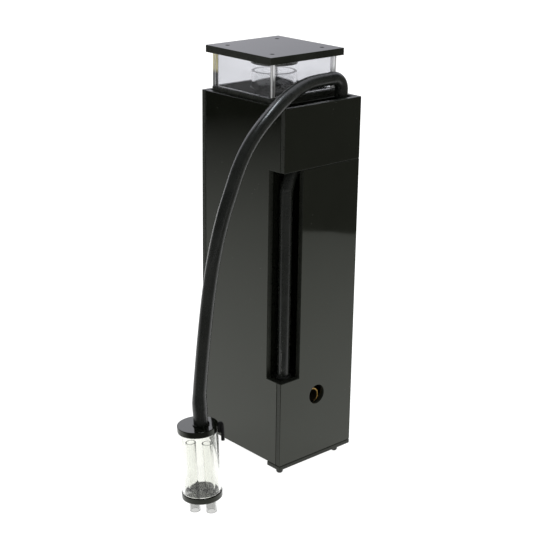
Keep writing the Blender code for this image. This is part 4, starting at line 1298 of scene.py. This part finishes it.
class FOAMFILTER_OT_rotor(bpy.types.Operator):
    """Build the rotor: magnet, shaft and needle wheel"""

    bl_idname = "foamfilter.rotor"
    bl_label = "Rotor"

    def execute(self, context):
        settings = context.scene.foam_filter
        magnet = ring_of_node("magnet_barrel", "rotor_magnet", "X", 1.8 * MM)
        settle(magnet, "rotor", "magnet_ferrite", ("pressed_ferrite",), settings, "rotor_magnet")
        shaft = ring_of_node("shaft_rod", "rotor_shaft", "X", 0, 0.3 * MM, 40)
        settle(shaft, "rotor", "white_ceramic", ("glazed_ceramic",), settings, "rotor_shaft")
        low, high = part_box("needle_wheel")
        disc_depth, pin_radius = 2.5 * MM, 1.1 * MM
        centre = Vector((low.x, (low.y + high.y) / 2, (low.z + high.z) / 2))
        outer = (high.z - low.z) / 2
        turn = turn_along("X", centre)
        wheel = lathe("wheel_disc", ring(outer, 1.8 * MM, 0, disc_depth), turn, 0.4 * MM, 72)
        reach = high.x - low.x - disc_depth
        pins = grown(bare_object("wheel_pins"), tree_named("pins on a circle", pins_tree), {
            "Count": settings.pump.pins, "Circle": outer - 2 * pin_radius, "Radius": pin_radius,
            "Length": reach, "Finish": finish_named("moulded_white", settings),
        })
        moved(pins, turn @ Matrix.Translation((0, 0, disc_depth + reach / 2 + 0.01 * MM)))
        needle = join("needle_wheel_moulding", [wheel, pins])
        settle(needle, "rotor", "white_plastic", ("moulded_white",), settings, "needle_wheel")
        return {"FINISHED"}


class FOAMFILTER_OT_cup(bpy.types.Operator):
    """Build the foam cup: flange, clear walls, neck and seal"""

    bl_idname = "foamfilter.cup"
    bl_label = "Foam cup"

    def execute(self, context):
        settings = context.scene.foam_filter
        sheet = settings.sheet
        clear = ("clear_sheet", "clear_edge", "clear_arris")
        neck_low, neck_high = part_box("foam_neck")
        centre = middle("foam_neck")
        radius = (neck_high.x - neck_low.x) / 2
        flange_low, flange_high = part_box("cup_flange")
        plate = new_object("flange_plate", rounded_plate(flange_low, flange_high, 3 * MM))
        hole = post_shape((centre.x, 0, flange_high.z), radius + 0.2 * MM, 0.03, "Z", 96)
        plate = soften(carve(plate, [hole]), 0.7 * MM, None, 3)
        for face in plate.data.polygons:
            inside = face.normal.z > 0.99 and not face.use_smooth
            face.material_index = 1 if inside else 0 if face.normal.z < -0.5 else 2
        rim = ("black_sheet", "sanded_black", "buffed_rim")
        settle(plate, "cup", "black_acrylic", rim, settings, "cup_flange")
        for word, axis in (("front", "Y"), ("back", "Y"), ("left", "X"), ("right", "X")):
            node = "cup_wall_" + word
            wall = sheet_of_node("clear_wall_" + word, node, sheet.clear_round, axis)
            mark_faces(wall, lambda normal: max(abs(normal.x), abs(normal.y)) < 0.75
                       or abs(normal.dot(AXES[axis])) > 0.9, 0)
            mark_faces(wall, lambda normal: max(abs(normal.x), abs(normal.y)) < 0.99
                       and abs(normal.z) < 0.1, 2)
            mark_faces(wall, lambda normal: normal.z < -0.6, 1)
            settle(wall, "cup", "clear_acrylic", clear, settings, node)
        neck = ring_of_node("neck_tube", "foam_neck", "Z", radius - 2.5 * MM, 0.4 * MM, 96)
        mark_faces(neck, lambda normal: abs(normal.z) > 0.7, 1)
        settle(neck, "cup", "clear_acrylic", ("clear_neck", "clear_lip"), settings, "foam_neck")
        seal = ring_of_node("neck_ring", "neck_seal", "Z", radius + 0.2 * MM, 0.8 * MM, 72)
        settle(seal, "cup", "black_rubber", ("soft_rubber",), settings, "neck_seal")
        return {"FINISHED"}


def rounded_plate(low, high, corner):
    """A flat plate with rounded upright corners."""
    shape = bmesh.new()
    centres = (
        (high.x - corner, high.y - corner), (low.x + corner, high.y - corner),
        (low.x + corner, low.y + corner), (high.x - corner, low.y + corner),
    )
    outline = []
    for turn, (x, y) in enumerate(centres):
        for step in range(9):
            angle = math.pi / 2 * (turn + step / 8)
            outline.append((x + corner * math.cos(angle), y + corner * math.sin(angle)))
    base = shape.faces.new([shape.verts.new((x, y, low.z)) for x, y in outline])
    made = bmesh.ops.extrude_face_region(shape, geom=[base])
    top = [item for item in made["geom"] if isinstance(item, bmesh.types.BMVert)]
    bmesh.ops.translate(shape, vec=(0, 0, high.z - low.z), verts=top)
    bmesh.ops.recalc_face_normals(shape, faces=shape.faces)
    return shape


class FOAMFILTER_OT_lid(bpy.types.Operator):
    """Build the lid with its four vents and the plug under it"""

    bl_idname = "foamfilter.lid"
    bl_label = "Lid"

    def execute(self, context):
        settings = context.scene.foam_filter
        low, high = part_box("lid_plate")
        centre = (low + high) / 2
        pitch, vent = 56 * MM, 1.9 * MM
        drills = [
            post_shape((centre.x + x, y, centre.z), vent, 0.02, "Z", 40)
            for x in (-pitch / 2, pitch / 2) for y in (-pitch / 2, pitch / 2)
        ]
        plate = sheet_of_node("lid_sheet", "lid_plate", 0.45 * MM, "Z", drills, 3)
        mark_faces(plate, lambda normal: abs(normal.z) < 0.1
                   and max(abs(normal.x), abs(normal.y)) < 0.998, 0)
        settle(plate, "lid", "black_acrylic", ("black_sheet", "sawn_black"), settings, "lid_plate")
        rims = grown(bare_object("vent_rims"), tree_named("rims on a grid", rims_tree), {
            "Count": 2, "Span": pitch, "Hole": vent - 0.1 * MM, "Rim": 0.16 * MM,
            "Finish": finish_named("sawn_black", settings),
        })
        moved(rims, Matrix.Translation((centre.x, 0, high.z - 0.5 * MM)))
        settle(rims, "lid", "black_acrylic", ("sawn_black",), settings)
        plug = ring_of_node("plug_disc", "lid_plug", "Z", 0, 0.6 * MM, 96)
        settle(plug, "lid", "black_acrylic", ("black_sheet",), settings, "lid_plug")
        return {"FINISHED"}


class FOAMFILTER_OT_stage(bpy.types.Operator):
    """Build the floor, the surroundings, the cards, the lamps and the camera"""

    bl_idname = "foamfilter.stage"
    bl_label = "Stage"

    def execute(self, context):
        scene = context.scene
        studio = scene.foam_filter.studio
        scene.view_settings.view_transform = "Standard"
        scene.view_settings.look = "None"

        camera_data = bpy.data.cameras.new("camera")
        camera_data.lens = 88.6
        camera_data.sensor_width = 36
        camera_data.clip_start = 0.01
        camera = bpy.data.objects.new("camera", camera_data)
        scene.collection.objects.link(camera)
        right, up = Vector((0.665, 0.7467, 0.0124)), Vector((-0.2496, 0.2065, 0.9461))
        turn = Matrix((right, up, right.cross(up))).transposed().to_4x4()
        turn.translation = (0.80536, -0.73723, 0.54271)
        camera.matrix_world = turn.normalized()
        scene.camera = camera

        self.surroundings(scene, studio)
        self.floor(studio)
        self.cards(studio)
        lamp_data = bpy.data.lights.new("key_strip", "AREA")
        lamp_data.shape = "RECTANGLE"
        lamp_data.size, lamp_data.size_y = 0.24, 0.7
        lamp_data.energy = studio.key_power
        lamp_data.color = (0.86, 0.93, 1.0)
        lamp = bpy.data.objects.new("key_strip", lamp_data)
        scene.collection.objects.link(lamp)
        lamp.matrix_world = Matrix.Translation((-0.03, 0.12, 1.5)) @ Matrix.Rotation(0.84, 4, "Z")
        return {"FINISHED"}

    def surroundings(self, scene, studio):
        """White all round for the lighting, dusk where polished faces mirror it."""
        world = bpy.data.worlds.new("surroundings")
        world.use_nodes = True
        nodes, links = world.node_tree.nodes, world.node_tree.links
        nodes.clear()
        path = nodes.new("ShaderNodeLightPath")
        clear = nodes.new("ShaderNodeMath")
        clear.operation = "SUBTRACT"
        clear.use_clamp = True
        links.new(path.outputs["Is Glossy Ray"], clear.inputs[0])
        links.new(path.outputs["Is Transmission Ray"], clear.inputs[1])
        bright, dim = nodes.new("ShaderNodeBackground"), nodes.new("ShaderNodeBackground")
        bright.inputs["Color"].default_value = (*studio.sky_colour, 1.0)
        bright.inputs["Strength"].default_value = 1.03
        dim.inputs["Color"].default_value = (*studio.dusk_colour, 1.0)
        mix, out = nodes.new("ShaderNodeMixShader"), nodes.new("ShaderNodeOutputWorld")
        links.new(clear.outputs[0], mix.inputs[0])
        links.new(bright.outputs[0], mix.inputs[1])
        links.new(dim.outputs[0], mix.inputs[2])
        links.new(mix.outputs[0], out.inputs["Surface"])
        scene.world = world

    def floor(self, studio):
        """A pale floor that glows a little, so that it hardly takes a shadow."""
        shape = bmesh.new()
        bmesh.ops.create_circle(shape, cap_ends=True, segments=96, radius=9.0)
        floor = new_object("floor", shape)
        finish = Finish("pale_floor")
        mottle = finish.step(finish.noise(2.5, 3.0), 0.3, 0.7)
        floor.data.materials.append(finish.done(finish.surface({
            "Base Color": finish.blend(mottle, (0.24, 0.24, 0.24), (0.26, 0.26, 0.255)),
            "Roughness": 0.9, "Emission Color": (1.0, 1.0, 0.995, 1.0),
            "Emission Strength": studio.floor_glow, "Specular IOR Level": 0.1,
        })))

    def cards(self, studio):
        """Cards and a mat that only show as reflections in the polished sheet."""
        away = Vector((-0.7440, 0.6682, 0.0))
        right = Vector((0.6682, 0.7440, 0.0))
        mirrored = Vector((0.7440, 0.6682, 0.0))
        shape = bmesh.new()
        bmesh.ops.create_circle(shape, cap_ends=True, segments=96, radius=3.2)
        bmesh.ops.translate(shape, vec=(0, 0, 0.0005), verts=shape.verts)
        mat = new_object("dark_mat", shape)
        finish = Finish("mat_black")
        radial = finish.add("ShaderNodeVectorMath", {"operation": "LENGTH"}, {0: finish.place}, 1)
        near = finish.step(radial, 0.0, studio.mat_radius)
        fade = finish.math_of("POWER", near, 1.25)
        toward = finish.add(
            "ShaderNodeVectorMath", {"operation": "DOT_PRODUCT"},
            {0: finish.place, 1: tuple(-away)}, 1,
        )
        front = finish.step(toward, 0.13, 0.25, 0.0, 0.92)
        fade = finish.math_of("MAXIMUM", fade, front)
        behind = finish.step(0.0 - toward / radial, 0.3, 0.5, 1.0, 0.0)
        fade = fade * behind
        black = finish.add("ShaderNodeEmission", None, {"Color": (0.02, 0.021, 0.018, 1.0)})
        through = finish.add("ShaderNodeBsdfTransparent")
        mix = finish.add("ShaderNodeMixShader", None, {0: fade, 1: through, 2: black})
        mat.data.materials.append(finish.done(mix))

        centre = mirrored * studio.card_distance
        side = self.card("right_card", centre, away, 0.9, 0.002, 0.55)
        self.glow(side, "card_grey", away, (-0.5, 0.14), (0.5, 0.17), (1.0, 1.0, 0.9), (0, 1, 1))
        far = self.curved_card("far_card", 2.5, (78.0, 200.0), 0.15, 4.2)
        self.glow(far, "card_pale", right, (-0.3, 0.82), (0.3, 0.62), (0.97, 0.97, 1.06),
                  (0.85, 1.15, 1.9))
        for card in (mat, side, far):
            for sight in ("camera", "diffuse", "transmission", "volume_scatter", "shadow"):
                setattr(card, "visible_" + sight, False)

    def card(self, name, centre, along, half, low, high):
        """An upright card, half to each side of centre along a level direction."""
        shape = bmesh.new()
        corners = [
            centre - along * half, centre + along * half, centre + along * half,
            centre - along * half,
        ]
        heights = (low, low, high, high)
        shape.faces.new([shape.verts.new((c.x, c.y, z)) for c, z in zip(corners, heights)])
        return new_object(name, shape)

    def curved_card(self, name, radius, span, low, high):
        """An upright card that follows a circle round the middle between two angles."""
        shape = bmesh.new()
        steps = 40
        rows = []
        for step in range(steps + 1):
            angle = math.radians(span[0] + (span[1] - span[0]) * step / steps)
            x, y = radius * math.cos(angle), radius * math.sin(angle)
            rows.append((shape.verts.new((x, y, low)), shape.verts.new((x, y, high))))
        for (low_a, high_a), (low_b, high_b) in zip(rows, rows[1:]):
            shape.faces.new((low_a, low_b, high_b, high_a))
        return new_object(name, shape)

    def glow(self, card, name, along, start, end, tint, low_to_high):
        """Light given off by a card, from its start to its end along a level direction.

        low_to_high is two heights and how many times brighter it is at the upper one.
        """
        finish = Finish(name)
        place = finish.add(
            "ShaderNodeVectorMath", {"operation": "DOT_PRODUCT"},
            {0: finish.place, 1: tuple(along)}, 1,
        )
        height = finish.add("ShaderNodeSeparateXYZ", None, {0: finish.place}, 2)
        strength = finish.step(place, start[0], end[0], start[1], end[1])
        strength = strength * finish.step(height, low_to_high[0], low_to_high[1], 1.0, low_to_high[2])
        inputs = {"Color": (*tint, 1.0), "Strength": strength}
        card.data.materials.append(finish.done(finish.add("ShaderNodeEmission", None, inputs)))


class FOAMFILTER_PT_sidebar(bpy.types.Panel):
    """Lists the filter's operators and settings"""

    bl_idname = "FOAMFILTER_PT_sidebar"
    bl_label = "Foam Filter"
    bl_space_type = "VIEW_3D"
    bl_region_type = "UI"
    bl_category = "Filter"

    def draw(self, context):
        layout = self.layout
        for maker in OPERATORS:
            layout.operator(maker.bl_idname)
        groups = context.scene.foam_filter
        for word in ("sheet", "hose", "silencer", "pump", "studio"):
            group = getattr(groups, word)
            column = layout.column(heading=word.capitalize())
            for name in group.__annotations__:
                column.prop(group, name)


SETTINGS = (
    SheetSettings, HoseSettings, SilencerSettings, PumpSettings, StudioSettings, FilterSettings,
)
OPERATORS = (
    FOAMFILTER_OT_stage, FOAMFILTER_OT_hoses, FOAMFILTER_OT_silencer, FOAMFILTER_OT_casing,
    FOAMFILTER_OT_feet, FOAMFILTER_OT_channel, FOAMFILTER_OT_chamber, FOAMFILTER_OT_pump,
    FOAMFILTER_OT_rotor, FOAMFILTER_OT_cup, FOAMFILTER_OT_lid,
)


def register():
    for kind in (*SETTINGS, *OPERATORS, FOAMFILTER_PT_sidebar):
        bpy.utils.register_class(kind)
    bpy.types.Scene.foam_filter = bpy.props.PointerProperty(type=FilterSettings)


def unregister():
    del bpy.types.Scene.foam_filter
    for kind in reversed((*SETTINGS, *OPERATORS, FOAMFILTER_PT_sidebar)):
        bpy.utils.unregister_class(kind)


def main():
    register()
    for maker in OPERATORS:
        group, name = maker.bl_idname.split(".")
        getattr(getattr(bpy.ops, group), name)()


if __name__ == "__main__":
    main()
